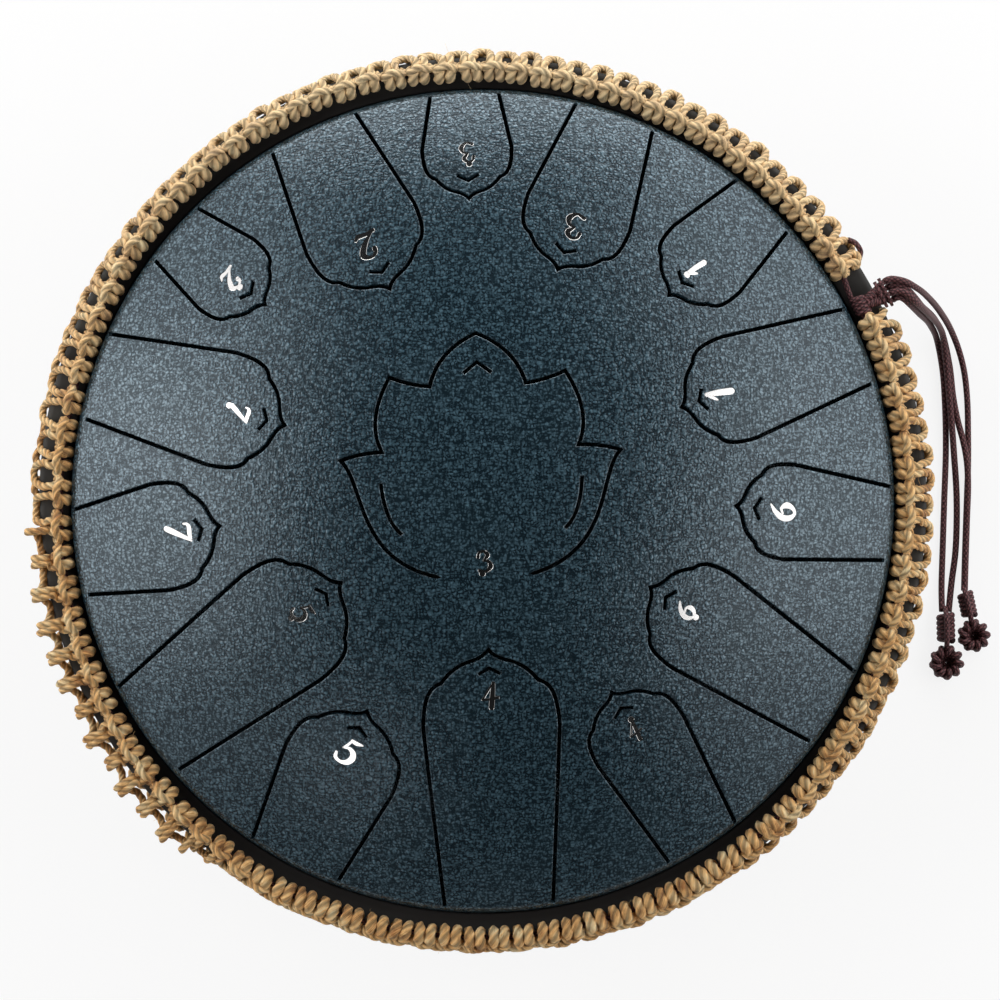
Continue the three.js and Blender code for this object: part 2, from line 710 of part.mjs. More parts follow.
// Feet under the lower shell
for (let i = 0; i < footCount; i += 1) {
  const place = around(footCircleRadius, footBearing + (i * 360) / footCount, 0);
  const footSteps = 16;
  const foot = turned([
    [0, 0],
    [footGroundRadius, 0],
    [footRadius, footTaper],
    [footRadius, footHeight],
    [0, footHeight],
  ], footSteps);
  addPiece(`foot_${i + 1}`, foot.translate(place.toArray()), blackRubber);
}

export default drum;
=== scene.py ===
import math
import random
from functools import partial

import bpy
import numpy as np
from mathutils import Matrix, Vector
from mathutils.geometry import delaunay_2d_cdt


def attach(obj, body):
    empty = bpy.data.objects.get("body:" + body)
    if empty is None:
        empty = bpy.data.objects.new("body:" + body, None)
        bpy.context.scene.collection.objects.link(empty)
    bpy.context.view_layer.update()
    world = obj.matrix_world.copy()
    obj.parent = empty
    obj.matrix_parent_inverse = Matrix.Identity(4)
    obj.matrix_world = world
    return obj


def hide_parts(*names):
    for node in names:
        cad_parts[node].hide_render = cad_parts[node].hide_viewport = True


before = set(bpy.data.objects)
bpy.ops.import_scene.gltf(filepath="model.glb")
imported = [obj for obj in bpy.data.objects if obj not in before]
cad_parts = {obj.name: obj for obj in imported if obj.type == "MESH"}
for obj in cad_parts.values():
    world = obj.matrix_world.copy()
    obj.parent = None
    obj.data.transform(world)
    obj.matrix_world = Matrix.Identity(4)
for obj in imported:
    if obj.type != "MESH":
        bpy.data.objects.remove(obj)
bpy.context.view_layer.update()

random.seed(14)

# Studio: a camera straight above the drum, a pale floor and soft boxes round it.
# The main soft boxes stand left and right, so that the bare digits there shine and most others stay dark.
# Sizes are in millimetres, and MM brings them to the metres of the frame.
MM = 0.001
camera_height = 1776
picture_width = 404.5
picture_middle = (6.9, 0.4)
rim_level = 80
sensor_width = 36

camera = bpy.data.objects.new("camera", bpy.data.cameras.new("camera"))
camera.data.sensor_width = sensor_width
camera.data.lens = sensor_width * (camera_height - rim_level) / picture_width
camera.location = (picture_middle[0] * MM, picture_middle[1] * MM, camera_height * MM)
bpy.context.scene.collection.objects.link(camera)
bpy.context.scene.camera = camera
bpy.context.scene.view_settings.view_transform = "Standard"


def feed(node, *sources):
    """Sets or links a node's inputs. Each source is an input's name or number, with a value or an output.
    A node stands for its first output."""
    for socket, value in sources:
        if isinstance(value, bpy.types.Node):
            value = value.outputs[0]
        if isinstance(value, bpy.types.NodeSocket):
            node.id_data.links.new(value, node.inputs[socket])
        else:
            node.inputs[socket].default_value = value


def add_node(tree, kind, *sources, **settings):
    """New shader node, fed from its sources."""
    node = tree.nodes.new("ShaderNode" + kind)
    for setting, value in settings.items():
        setattr(node, setting, value)
    feed(node, *sources)
    return node


def ranged(node, value, span, to=(0, 1), **settings):
    """Value carried from one span to another, and held at its ends."""
    return node("MapRange", ("Value", value), ("From Min", span[0]), ("From Max", span[1]),
                ("To Min", to[0]), ("To Max", to[1]), **settings)


def maths(node, operation, *values):
    """Sum, product or another operation on values and outputs."""
    return node("Math", *enumerate(values), operation=operation)


def new_finish(name):
    """New material, the maker of its nodes, and its main shader."""
    finish = bpy.data.materials.new(name)
    finish.use_nodes = True
    tree = finish.node_tree
    return finish, partial(add_node, tree), tree.nodes["Principled BSDF"]


def pale_floor():
    """Paper white that glows for camera, glossy and transmission rays, with the real shadow kept at a part
    of its depth. Under the drum the glow fades out and the colour darkens, a painted shadow.
    """
    finish, node, shader = new_finish("pale_floor")
    rays = node("LightPath")
    seen = maths(node, "MAXIMUM", rays.outputs["Is Camera Ray"], rays.outputs["Is Glossy Ray"])
    seen = maths(node, "MAXIMUM", seen, rays.outputs["Is Transmission Ray"])
    place = node("TexCoord").outputs["Object"]
    away = node("VectorMath", (0, place), operation="LENGTH").outputs["Value"]
    # Painted shadow: under the drum the floor's glow fades out and its colour darkens towards 0.05
    clear = ranged(node, away, (0.09, 0.17), (0, 0.8), interpolation_type="SMOOTHSTEP")
    under = ranged(node, away, (0.05, 0.12), (0.05, 0.86))
    feed(shader, ("Base Color", under), ("Roughness", 0.9), ("Specular IOR Level", 0.1))
    share = maths(node, "MULTIPLY", seen, clear)
    glow = node("Emission", ("Color", (1, 1, 1, 1)), ("Strength", 1.05))
    mixed = node("MixShader", (0, share), (1, shader), (2, glow))
    feed(finish.node_tree.nodes["Material Output"], ("Surface", mixed))
    return finish


floor_half = 6000 * MM
floor_level = -0.1 * MM
floor_corners = [(x * floor_half, y * floor_half, floor_level)
                 for x, y in ((-1, -1), (1, -1), (1, 1), (-1, 1))]
floor_mesh = bpy.data.meshes.new("floor")
floor_mesh.from_pydata(floor_corners, [], [(0, 1, 2, 3)])
floor_mesh.materials.append(pale_floor())
floor = bpy.data.objects.new("floor", floor_mesh)
bpy.context.scene.collection.objects.link(floor)

# Each soft box: bearing, angle down from straight above, width and height in metres, power in watts
soft_boxes = [
    (150, 62, 1.1, 1.3, 6.8), (180, 60, 1.1, 1.45, 11), (214, 62, 0.7, 1.1, 1.2),
    (-34, 62, 0.7, 1.1, 2), (0, 60, 1.1, 1.45, 10.2), (40, 65, 1.1, 1.2, 7.8),
    (92, 79, 2.0, 0.75, 22), (242, 48, 0.3, 0.3, 0.7), (-28, 38, 0.3, 0.3, 0.35),
]
box_distance = 1600 * MM
for bearing, tilt, width, height, power in soft_boxes:
    lamp = bpy.data.objects.new("soft_box", bpy.data.lights.new("soft_box", "AREA"))
    lamp.data.shape = "RECTANGLE"
    lamp.data.size = width
    lamp.data.size_y = height
    lamp.data.energy = power
    lamp.visible_camera = False
    way = Vector((math.sin(math.radians(tilt)) * math.cos(math.radians(bearing)),
                  math.sin(math.radians(tilt)) * math.sin(math.radians(bearing)),
                  math.cos(math.radians(tilt))))
    lamp.location = way * box_distance + Vector((0, 0, rim_level * MM))
    lamp.rotation_euler = way.to_track_quat("Z", "Y").to_euler()
    bpy.context.scene.collection.objects.link(lamp)

# The walls are dim, and dark overhead where the middle of the dome mirrors them
world = bpy.data.worlds.new("studio")
world.use_nodes = True
wall_node = partial(add_node, world.node_tree)
facing = wall_node("SeparateXYZ", (0, wall_node("TexCoord").outputs["Generated"]))
dim_top = ranged(wall_node, facing.outputs["Z"], (0.1, 0.5), (0.35, 0.014))
seen_walls = maths(wall_node, "MAXIMUM", dim_top, wall_node("LightPath").outputs["Is Camera Ray"])
feed(world.node_tree.nodes["Background"], ("Color", (0.96, 0.98, 1, 1)), ("Strength", seen_walls))
bpy.context.scene.world = world

# Lower shell: a bowl pressed from steel sheet, with a flat flange on top and a round sound hole in its base.
# It has the same leather-grain powder coat as the dome, a navy with a fine pebbled and creased face.
sheet = 1.5
base_level = 8
bowl_base_radius = 96
bowl_knuckle = 50
knuckle_steps = 14
sound_hole_radius = 40
hole_bevel = 0.4
dome_foot_radius = 166
flange_radius = 175
flange_bottom = rim_level - sheet
round_steps = 160


def noise(node, place, scale, detail, *sources):
    """Cloudy noise of a scale and a number of finer layers."""
    return node("TexNoise", ("Vector", place), ("Scale", scale), ("Detail", detail), *sources)


def blend(node, share, first, second, **settings):
    """Colour between two colours, by a share."""
    return node("MixRGB", ("Fac", share), ("Color1", first), ("Color2", second), **settings)


def raised(node, height, strength, distance):
    """Normals of a face that is raised by a height, up to a distance in metres."""
    return node("Bump", ("Strength", strength), ("Distance", distance), ("Height", height))


def navy_coat():
    """Powder coat: a leather grain of pebbles and of creases both ways. Its colour darkens in the creases
    and lightens on top of the grain, partly the coat's own tone and partly painted shade and painted
    highlight.
    """
    finish, node, shader = new_finish("navy_coat")
    place = node("TexCoord").outputs["Object"]
    sway = noise(node, place, 420, 2).outputs["Color"]
    bent = node("VectorMath", (0, sway), (1, (0.0016, 0.0016, 0.0016)), (2, place), operation="MULTIPLY_ADD")
    pebbles = node("TexVoronoi", ("Vector", bent), ("Scale", 680), feature="DISTANCE_TO_EDGE")
    height = ranged(node, pebbles, (0, 0.4), (0, 0.45), interpolation_type="SMOOTHSTEP")
    for stretch in ((1, 0.35, 1), (0.35, 1, 1)):
        drawn = node("Mapping", ("Vector", place), ("Scale", stretch))
        height = maths(node, "MULTIPLY_ADD", noise(node, drawn, 1100, 2), 1.1, height)
    # Colour by grain height: dark creases and light tops, partly painted shade and painted highlight
    tone = ranged(node, height, (1.1, 1.9))
    colour = blend(node, tone, (0.004, 0.012, 0.018, 1), (0.074, 0.146, 0.192, 1))
    patches = noise(node, place, 34, 3)
    feed(shader, ("Base Color", colour), ("Normal", raised(node, height, 1, 0.0001)),
         ("Roughness", ranged(node, patches, (0, 1), (0.23, 0.31))),
         ("Specular IOR Level", ranged(node, tone, (0, 1), (0.22, 0.86))),
         ("IOR", 1.9), ("Specular Tint", (0.8, 0.92, 1, 1)))
    return finish


def arc(centre, radius, start, end, steps):
    """Points of (radius, level) on an arc, from one angle to another."""
    turns = np.radians(np.linspace(start, end, steps + 1))
    return [(centre[0] + radius * math.cos(turn), centre[1] + radius * math.sin(turn)) for turn in turns]


def turned(profile, steps=round_steps):
    """Points and faces of a closed profile of (radius, level), turned round the upright axis."""
    profile = np.array(profile, float)
    turns = np.linspace(0, 2 * np.pi, steps, endpoint=False)[:, None]
    points = np.stack([np.cos(turns) * profile[:, 0], np.sin(turns) * profile[:, 0],
                       np.repeat(profile[None, :, 1], steps, axis=0)], axis=-1)
    count = len(profile)
    here, on = np.meshgrid(np.arange(steps), np.arange(count), indexing="ij")
    after, over = (here + 1) % steps, (on + 1) % count
    corners = [here * count + on, after * count + on, after * count + over, here * count + over]
    return points.reshape(-1, 3), np.stack(corners, axis=-1).reshape(-1, 4)


def add_piece(name, points, faces, finish, crease=None):
    """Smooth mesh from points in millimetres, with edges sharper than the crease angle kept."""
    mesh = bpy.data.meshes.new(name)
    mesh.from_pydata((np.asarray(points) * MM).tolist(), [], [list(map(int, face)) for face in faces])
    mesh.shade_smooth()
    if crease:
        mesh.set_sharp_from_angle(angle=math.radians(crease))
    mesh.materials.append(finish)
    piece = bpy.data.objects.new(name, mesh)
    bpy.context.scene.collection.objects.link(piece)
    return piece


coat = navy_coat()
knuckle_level = base_level + bowl_knuckle
to_flange = (dome_foot_radius - bowl_base_radius, flange_bottom - knuckle_level)
wall_angle = math.degrees(math.atan2(to_flange[1], to_flange[0])
                          - math.acos(bowl_knuckle / math.hypot(*to_flange)))
inner_knuckle = arc((bowl_base_radius, knuckle_level), bowl_knuckle - sheet, wall_angle, -90, knuckle_steps)
wall_foot_radius, wall_foot_level = inner_knuckle[0]
wall_top_radius = wall_foot_radius + (wall_foot_level - rim_level) * math.tan(math.radians(wall_angle))
bowl_profile = [
    (sound_hole_radius + hole_bevel, base_level),
    *arc((bowl_base_radius, knuckle_level), bowl_knuckle, -90, wall_angle, knuckle_steps),
    (dome_foot_radius, flange_bottom),
    (flange_radius, flange_bottom),
    (flange_radius, rim_level),
    (wall_top_radius, rim_level),
    *inner_knuckle,
    (sound_hole_radius + hole_bevel, base_level + sheet),
    (sound_hole_radius, base_level + sheet - hole_bevel),
    (sound_hole_radius, base_level + hole_bevel),
]
lower_shell = add_piece("bowl", *turned(bowl_profile), coat, crease=30)
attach(lower_shell, "drum")
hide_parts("lower_shell")

# Feet: three moulded rubber buttons stuck under the bowl, on which the drum stands.
# They are matt black, with a soft ground edge and a shallow dish in the middle.
foot_places = [90, 210, 330]
foot_circle = 82
foot_radius = 9
foot_edge = 1.5
foot_ground_radius = foot_radius - foot_edge
foot_dish = [(0, 0.8), (3, 0.7), (4.4, 0)]
foot_steps = 40


def black_rubber(name, colour, grain_scale):
    """Matt rubber with a faint moulded grain, with dust in patches only outward of about 170 mm; inside
    that, under the net, it is kept black as a painted shade.
    """
    finish, node, shader = new_finish(name)
    place = node("TexCoord").outputs["Object"]
    grain = noise(node, place, grain_scale, 5)
    level_place = node("VectorMath", (0, place), (1, (1, 1, 0)), operation="MULTIPLY")
    away = node("VectorMath", (0, level_place), operation="LENGTH").outputs["Value"]
    # Dust patches only outward of 169 to 175 mm; the band's inner part stays black, a painted shade under
    # the net
    dust_and_painted_shade = maths(node, "MULTIPLY", noise(node, place, 60, 4), ranged(node, away, (0.169, 0.175)))
    tone = blend(node, dust_and_painted_shade, (*colour, 1), (0.1, 0.1, 0.095, 1))
    feed(shader, ("Base Color", tone), ("Normal", raised(node, grain, 0.25, 0.0003)), ("Roughness", 0.75),
         ("Specular IOR Level", 0.15))
    return finish


foot_rubber = black_rubber("foot_rubber", (0.012, 0.012, 0.012), 700)
foot_profile = [
    *foot_dish,
    (foot_ground_radius, 0),
    *arc((foot_ground_radius, foot_edge), foot_edge, -80, 0, 4),
    (foot_radius, base_level),
    (0, base_level),
]
for number, bearing in enumerate(foot_places, start=1):
    points, faces = turned(foot_profile, foot_steps)
    points[:, 0] += foot_circle * math.cos(math.radians(bearing))
    points[:, 1] += foot_circle * math.sin(math.radians(bearing))
    foot = add_piece(f"foot_pad_{number}", points, faces, foot_rubber, crease=40)
    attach(foot, "drum")
    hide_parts(f"foot_{number}")

# Dome and tongues: the upper shell is pressed from the same sheet, and slits cut the tongues free on
# all sides but the root. The coat runs over the cut edges and leaves them slightly rounded, which shows
# as a thin light line.
dome_rise = 58.9
dome_flank_height = 10
dome_foot_slope = math.radians(86)
dome_knuckle = 6
flange_top = rim_level + sheet
slit_width = 1.6
slit_end_inset = 2.5
slit_end_radius = dome_foot_radius - slit_end_inset
pattern_turn = math.radians(2.3)
fan_centre = np.array([0, 9.5])
edge_round = 0.35
edge_drop = 0.3
edge_lean = 1.1
outline_step = 1.5
mark_width = 1.5
long_flare = 5.2
short_flare = 4.1
# Chevrons: how far below the tip, span and drop
tongue_chevron = (7.3, 8.8, 2.4)
lotus_chevron = (11.4, 11, 4.3)
lotus_top = 65.9

# Tongues of the fan: name, bearing from the lowest one, length, width at the root, shoulder flare,
# and how far below the tip the digit's middle lies
fan = [
    ("4", 0, 103.8, 43.4, long_flare, 18.3),
    ("low_6", 54.5, 88.8, 33.2, long_flare, 17),
    ("1", 106.9, 76.3, 31.8, long_flare, 16.2),
    ("3", 157.5, 66.8, 32.6, long_flare, 18.6),
    ("2", -156.3, 71.3, 36.8, long_flare, 19.5),
    ("low_7", -107, 79.5, 35.3, long_flare, 18.8),
    ("low_5", -55.3, 98.4, 41, long_flare, 19.4),
    ("high_4", 28.8, 71.9, 31, short_flare, 18),
    ("6", 81.2, 62.9, 29.5, short_flare, 18.9),
    ("high_1", 131.8, 53.2, 29, short_flare, 15.7),
    ("high_3", 180.3, 43, 27.5, short_flare, 18.8),
    ("high_2", -130.8, 47.1, 27, short_flare, 17.2),
    ("7", -81.7, 58.6, 34.5, short_flare, 17),
    ("5", -28.3, 68, 38.4, short_flare, 18.1),
]
# Half of a tip, curve by curve, as shares of the half width at the shoulder: across, and below the tip.
# Each curve has its number of steps.
tip_curves = [
    ([(1, 1.15), (0.985, 0.78), (0.93, 0.53), (0.711, 0.473)], 12),
    ([(0.711, 0.473), (0.53, 0.23), (0.278, 0.166)], 7),
    ([(0.278, 0.166), (0.072, 0.11), (0, 0)], 5),
]
# Half of the lotus in the middle, curve by curve from its root to its top
lotus_curves = [
    ([(17.1, -29.4), (51, -22), (45.5, 9), (54.9, 17.9)], 26),
    ([(54.9, 17.9), (47.5, 20.6), (38.5, 20.6)], 8),
    ([(38.5, 20.6), (44.5, 33), (34.5, 49.8)], 12),
    ([(34.5, 49.8), (26, 46.2), (18.8, 45.6)], 8),
    ([(18.8, 45.6), (15.4, 59.2), (0, lotus_top)], 12),
]
lotus_vein = [(39.4, 8.4), (38.4, -6.5), (31.9, -11.9)]
lotus_digit_up = -23.6

flank_head_radius = dome_foot_radius - dome_flank_height / math.tan(dome_foot_slope)
knuckle_centre = (flank_head_radius - dome_knuckle * math.sin(dome_foot_slope),
                  flange_top + dome_flank_height - dome_knuckle * math.cos(dome_foot_slope))
crown_to_knuckle = flange_top + dome_rise - knuckle_centre[1]
crown_radius = ((knuckle_centre[0] ** 2 + crown_to_knuckle ** 2 - dome_knuckle ** 2)
                / (2 * (crown_to_knuckle - dome_knuckle)))
crown_centre_level = flange_top + dome_rise - crown_radius
crown_edge = crown_radius * knuckle_centre[0] / (crown_radius - dome_knuckle)


def on_dome(plan):
    """Points on the dome's face over plan points, and the face's normals there."""
    radius = np.hypot(plan[:, 0], plan[:, 1])
    out = plan / np.maximum(radius, 1e-6)[:, None]
    on_crown = radius <= crown_edge
    on_flank = radius >= flank_head_radius
    bend = np.where(on_crown, crown_radius, dome_knuckle)
    from_centre = np.where(on_crown, radius, radius - knuckle_centre[0])
    lean = np.clip(from_centre / bend, 0, math.sin(dome_foot_slope))
    lean = np.where(radius > dome_foot_radius, 0, lean)
    up = np.sqrt(1 - lean ** 2)
    level = np.where(on_crown, crown_centre_level, knuckle_centre[1]) + bend * up
    below_head = (radius - flank_head_radius) * math.tan(dome_foot_slope)
    level = np.where(on_flank, flange_top + np.maximum(dome_flank_height - below_head, 0), level)
    return np.column_stack([plan, level]), np.column_stack([out * lean[:, None], up])


def bezier(controls, steps):
    """Points on a curve through its first and last control."""
    layers = np.repeat(np.array(controls, float)[:, None, :], steps + 1, axis=1)
    share = np.linspace(0, 1, steps + 1)[:, None]
    while len(layers) > 1:
        layers = layers[:-1] * (1 - share) + layers[1:] * share
    return layers[0]


def chain(*parts):
    """Curves laid end to end, with the shared points kept once and long sides divided."""
    points = [parts[0][0]]
    for part in parts:
        for point in part[1:]:
            gap = np.linalg.norm(point - points[-1])
            pieces = max(1, int(gap / outline_step))
            start = points[-1]
            points.extend(start + (point - start) * (k + 1) / pieces for k in range(pieces))
    return np.array(points)


def tongue_half(length, root_half, flare):
    """Half outline of a tongue from its root to its cusped tip."""
    shoulder_half = root_half + flare
    tip = [bezier((0, length) + np.array(shares) * (shoulder_half, -shoulder_half), steps)
           for shares, steps in tip_curves]
    return chain(np.array([(root_half, 0), tip[0][0]]), *tip)


def chevron(tip, below, span, drop):
    """Open line of a chevron below a tip."""
    top = tip - below
    return np.array([(span / 2, top - drop), (0, top), (-span / 2, top - drop)])


def mirrored(half):
    """Whole outline from one root corner over the tip to the other."""
    return np.vstack([half, (half * (-1, 1))[-2::-1]])


def unit(ways):
    """Directions brought to length 1."""
    return ways / np.linalg.norm(ways, axis=-1, keepdims=True)


def offset(line, distance):
    """Line moved sideways by a distance, with mitred corners."""
    along = unit(np.diff(line, axis=0))
    side = np.column_stack([along[:, 1], -along[:, 0]])
    after = np.vstack([side, side[-1:]])
    mitre = unit(np.vstack([side[:1], side]) + after)
    sharpest = 0.35
    return line + mitre * (distance / np.maximum((mitre * after).sum(1), sharpest))[:, None]


def at_root(line, level):
    """Line with both ends pulled onto the root line."""
    line = line.copy()
    line[[0, -1], 1] = level
    return line


def slit_loop(line, width):
    """Closed outline of a slit round an open line."""
    return np.vstack([offset(line, width / 2), offset(line, -width / 2)[::-1]])


def lengthened(line, more):
    """Open line with both ends drawn out."""
    ends = more * unit(line[[0, -1]] - line[[1, -2]])
    return np.vstack([line[:1] + ends[:1], line[1:-1], line[-1:] + ends[1:]])


def inside(loop, points):
    """Which points lie in a closed outline."""
    found = np.zeros(len(points), bool)
    for a, b in zip(loop, np.roll(loop, -1, axis=0)):
        crosses = (a[1] > points[:, 1]) != (b[1] > points[:, 1])
        rise = b[1] - a[1] if b[1] != a[1] else 1e-12
        found ^= crosses & (points[:, 0] < a[0] + (points[:, 1] - a[1]) * (b[0] - a[0]) / rise)
    return found


def turn_pattern(points):
    """Plan points turned with the whole pattern."""
    c, s = math.cos(pattern_turn), math.sin(pattern_turn)
    return points @ np.array([[c, s], [-s, c]])


def fan_frame(bearing, root_width):
    """Root point of a tongue, and its directions across and towards the tip."""
    outward = np.array([math.sin(math.radians(bearing)), -math.cos(math.radians(bearing))])
    across = np.array([-outward[1], outward[0]])
    along = fan_centre @ outward
    to_slit_end = slit_end_radius ** 2 - (root_width / 2) ** 2
    reach = math.sqrt(along ** 2 - fan_centre @ fan_centre + to_slit_end) - along
    return fan_centre + outward * reach, across, -outward


frames = {}
cuts = []
for name, bearing, length, root_width, flare, digit_below_tip in fan:
    frames[name] = (*fan_frame(bearing, root_width), length - digit_below_tip)
    outline = mirrored(tongue_half(length, root_width / 2, flare))
    cuts.append((name, outline, [chevron(length, *tongue_chevron)]))
vein = bezier(lotus_vein, 10)
lotus_half = chain(*(bezier(controls, steps) for controls, steps in lotus_curves))
lotus_marks = [vein, vein * (-1, 1), chevron(lotus_top, *lotus_chevron)]
frames["low_3"] = (np.zeros(2), np.array([1.0, 0]), np.array([0, 1.0]), lotus_digit_up)
cuts.append(("low_3", mirrored(lotus_half), lotus_marks))

plan_points, plan_edges, edge_sides = [], [], {}
blades, holes, marks = {}, [], {}


def add_line(line, closed, towards=None, rooted=0):
    """Line of the cutting plan. At a cut edge, each point but the rooted ends keeps its way to the cut."""
    start = len(plan_points)
    plan_points.extend(line.tolist())
    count = len(line)
    plan_edges.extend((start + i, start + (i + 1) % count) for i in range(count if closed else count - 1))
    if towards is not None:
        way = unit(towards)
        edge_sides.update({start + i: way[i] for i in range(rooted, count - rooted)})


def to_plan(name, points):
    """Plan points from a tongue's own points, across it and from its root to its tip."""
    root, across, to_tip, _ = frames[name]
    return turn_pattern(root + points[:, :1] * across + points[:, 1:] * to_tip)


for name, outline, lines in cuts:
    for side in (1, -1):
        cut = to_plan(name, at_root(offset(outline, side * slit_width / 2), outline[0, 1]))
        rim = to_plan(name, at_root(offset(outline, side * (slit_width / 2 + edge_round)), outline[0, 1]))
        add_line(cut, True, cut - rim, rooted=1)
        add_line(rim, False)
        if side > 0:
            holes.append(cut)
        else:
            blades[name] = cut
    marks[name] = []
    for line in lines:
        mark = to_plan(name, slit_loop(line, mark_width))
        rim = to_plan(name, slit_loop(lengthened(line, edge_round), mark_width + 2 * edge_round))
        add_line(mark, True, mark - rim)
        add_line(rim, True)
        marks[name].append(mark)

# Rings of points carry the dome's curve, and lie closer from the fine ring to the edge
fine_ring = 140
point_gap = 6
fine_point_gap = 4.5
crown_rings = [*np.arange(6, fine_ring, 6), *np.arange(fine_ring, 158, 3), 160]
knuckle_leans = np.linspace(crown_edge / crown_radius, math.sin(dome_foot_slope), 8)
knuckle_rings = knuckle_centre[0] + dome_knuckle * knuckle_leans
for radius in [*crown_rings, *knuckle_rings, dome_foot_radius, flange_radius]:
    count = max(8, int(2 * math.pi * radius / (point_gap if radius < fine_ring else fine_point_gap)))
    turns = np.linspace(0, 2 * math.pi, count, endpoint=False) + radius
    ring = np.column_stack([radius * np.cos(turns), radius * np.sin(turns)])
    add_line(ring, radius >= dome_foot_radius)

flat_points, _, flat_faces, sources, _, _ = delaunay_2d_cdt(
    [Vector(point) for point in plan_points], plan_edges, [], 0, 1e-5)
flat = np.array([tuple(point) for point in flat_points])
triangles = np.array([tuple(face) for face in flat_faces])
middles = flat[triangles].mean(axis=1)
first, second, third = flat[triangles].transpose(1, 0, 2)
turns_back = np.cross(second - first, third - first) < 0
triangles[turns_back] = triangles[turns_back][:, ::-1]
face_points, face_normals = on_dome(flat)
inner_points = face_points - face_normals * sheet
# Points on a cut edge drop and lean towards the cut, which rounds the edge
for vertex, found in enumerate(sources):
    ways = [edge_sides[index] for index in found if index in edge_sides]
    on_plain_line = any(index not in edge_sides and np.allclose(plan_points[index], flat[vertex])
                        for index in found)
    if ways and not on_plain_line:
        face_points[vertex, 2] -= edge_drop
        face_normals[vertex] = unit(face_normals[vertex] + np.array([*(edge_lean * ways[0]), 0]))


def add_sheet(name, chosen, finish):
    """Piece of the dome's sheet over the chosen triangles: outer face, inner face and cut walls."""
    used, corners = np.unique(triangles[chosen], return_inverse=True)
    corners = corners.reshape(-1, 3)
    count = len(used)
    sides = corners[:, [0, 1, 1, 2, 2, 0]].reshape(-1, 2)
    _, first, times = np.unique(np.sort(sides, axis=1), axis=0, return_index=True, return_counts=True)
    rim = sides[first[times == 1]]
    top, under = face_points[used], inner_points[used]
    walls = np.stack([top[rim[:, 1]], top[rim[:, 0]], under[rim[:, 0]], under[rim[:, 1]]], axis=1)
    facing = np.cross(walls[:, 1] - walls[:, 0], walls[:, 2] - walls[:, 0])
    facing /= np.maximum(np.linalg.norm(facing, axis=1), 1e-9)[:, None]
    points = np.vstack([top, under, walls.reshape(-1, 3)])
    normals = np.vstack([face_normals[used], -on_dome(flat[used])[1], np.repeat(facing, 4, axis=0)])
    wall_faces = 2 * count + np.arange(4 * len(rim)).reshape(-1, 4)
    faces = [*corners.tolist(), *(corners[:, ::-1] + count).tolist(), *wall_faces.tolist()]
    piece = add_piece(name, points, faces, finish)
    piece.data.normals_split_custom_set_from_vertices(normals.tolist())
    return piece


# Each blade is what lies inside its slit, and the dome is what lies outside all of them
taken = np.zeros(len(triangles), bool)
for (name, _, _), hole in zip(cuts, holes):
    in_blade = inside(blades[name], middles)
    taken |= inside(hole, middles)
    for mark in marks[name]:
        in_blade &= ~inside(mark, middles)
    blade = add_sheet(f"blade_{name}", in_blade, coat)
    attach(blade, f"note_{name}")
    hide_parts(f"tongue_{name}")
dome = add_sheet("dome", ~taken, coat)
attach(dome, "drum")
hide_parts("upper_shell")

# Digits: each note's number is etched through the coat to the bright steel, with its top towards the tip
# and a dot at its top or foot for the higher or lower octave. The strokes swell and taper like a broad
# pen's, and a bevel round them, where the etching ate under the coat, catches the light from the sides.
digit_height = 10.8
dotted_share = 0.8
dot_radius = 1.15
digit_end_share = 0.42
digit_lift = 0.04
bevel_width = 0.13
bevel_lean = 0.5
stroke_steps = 7

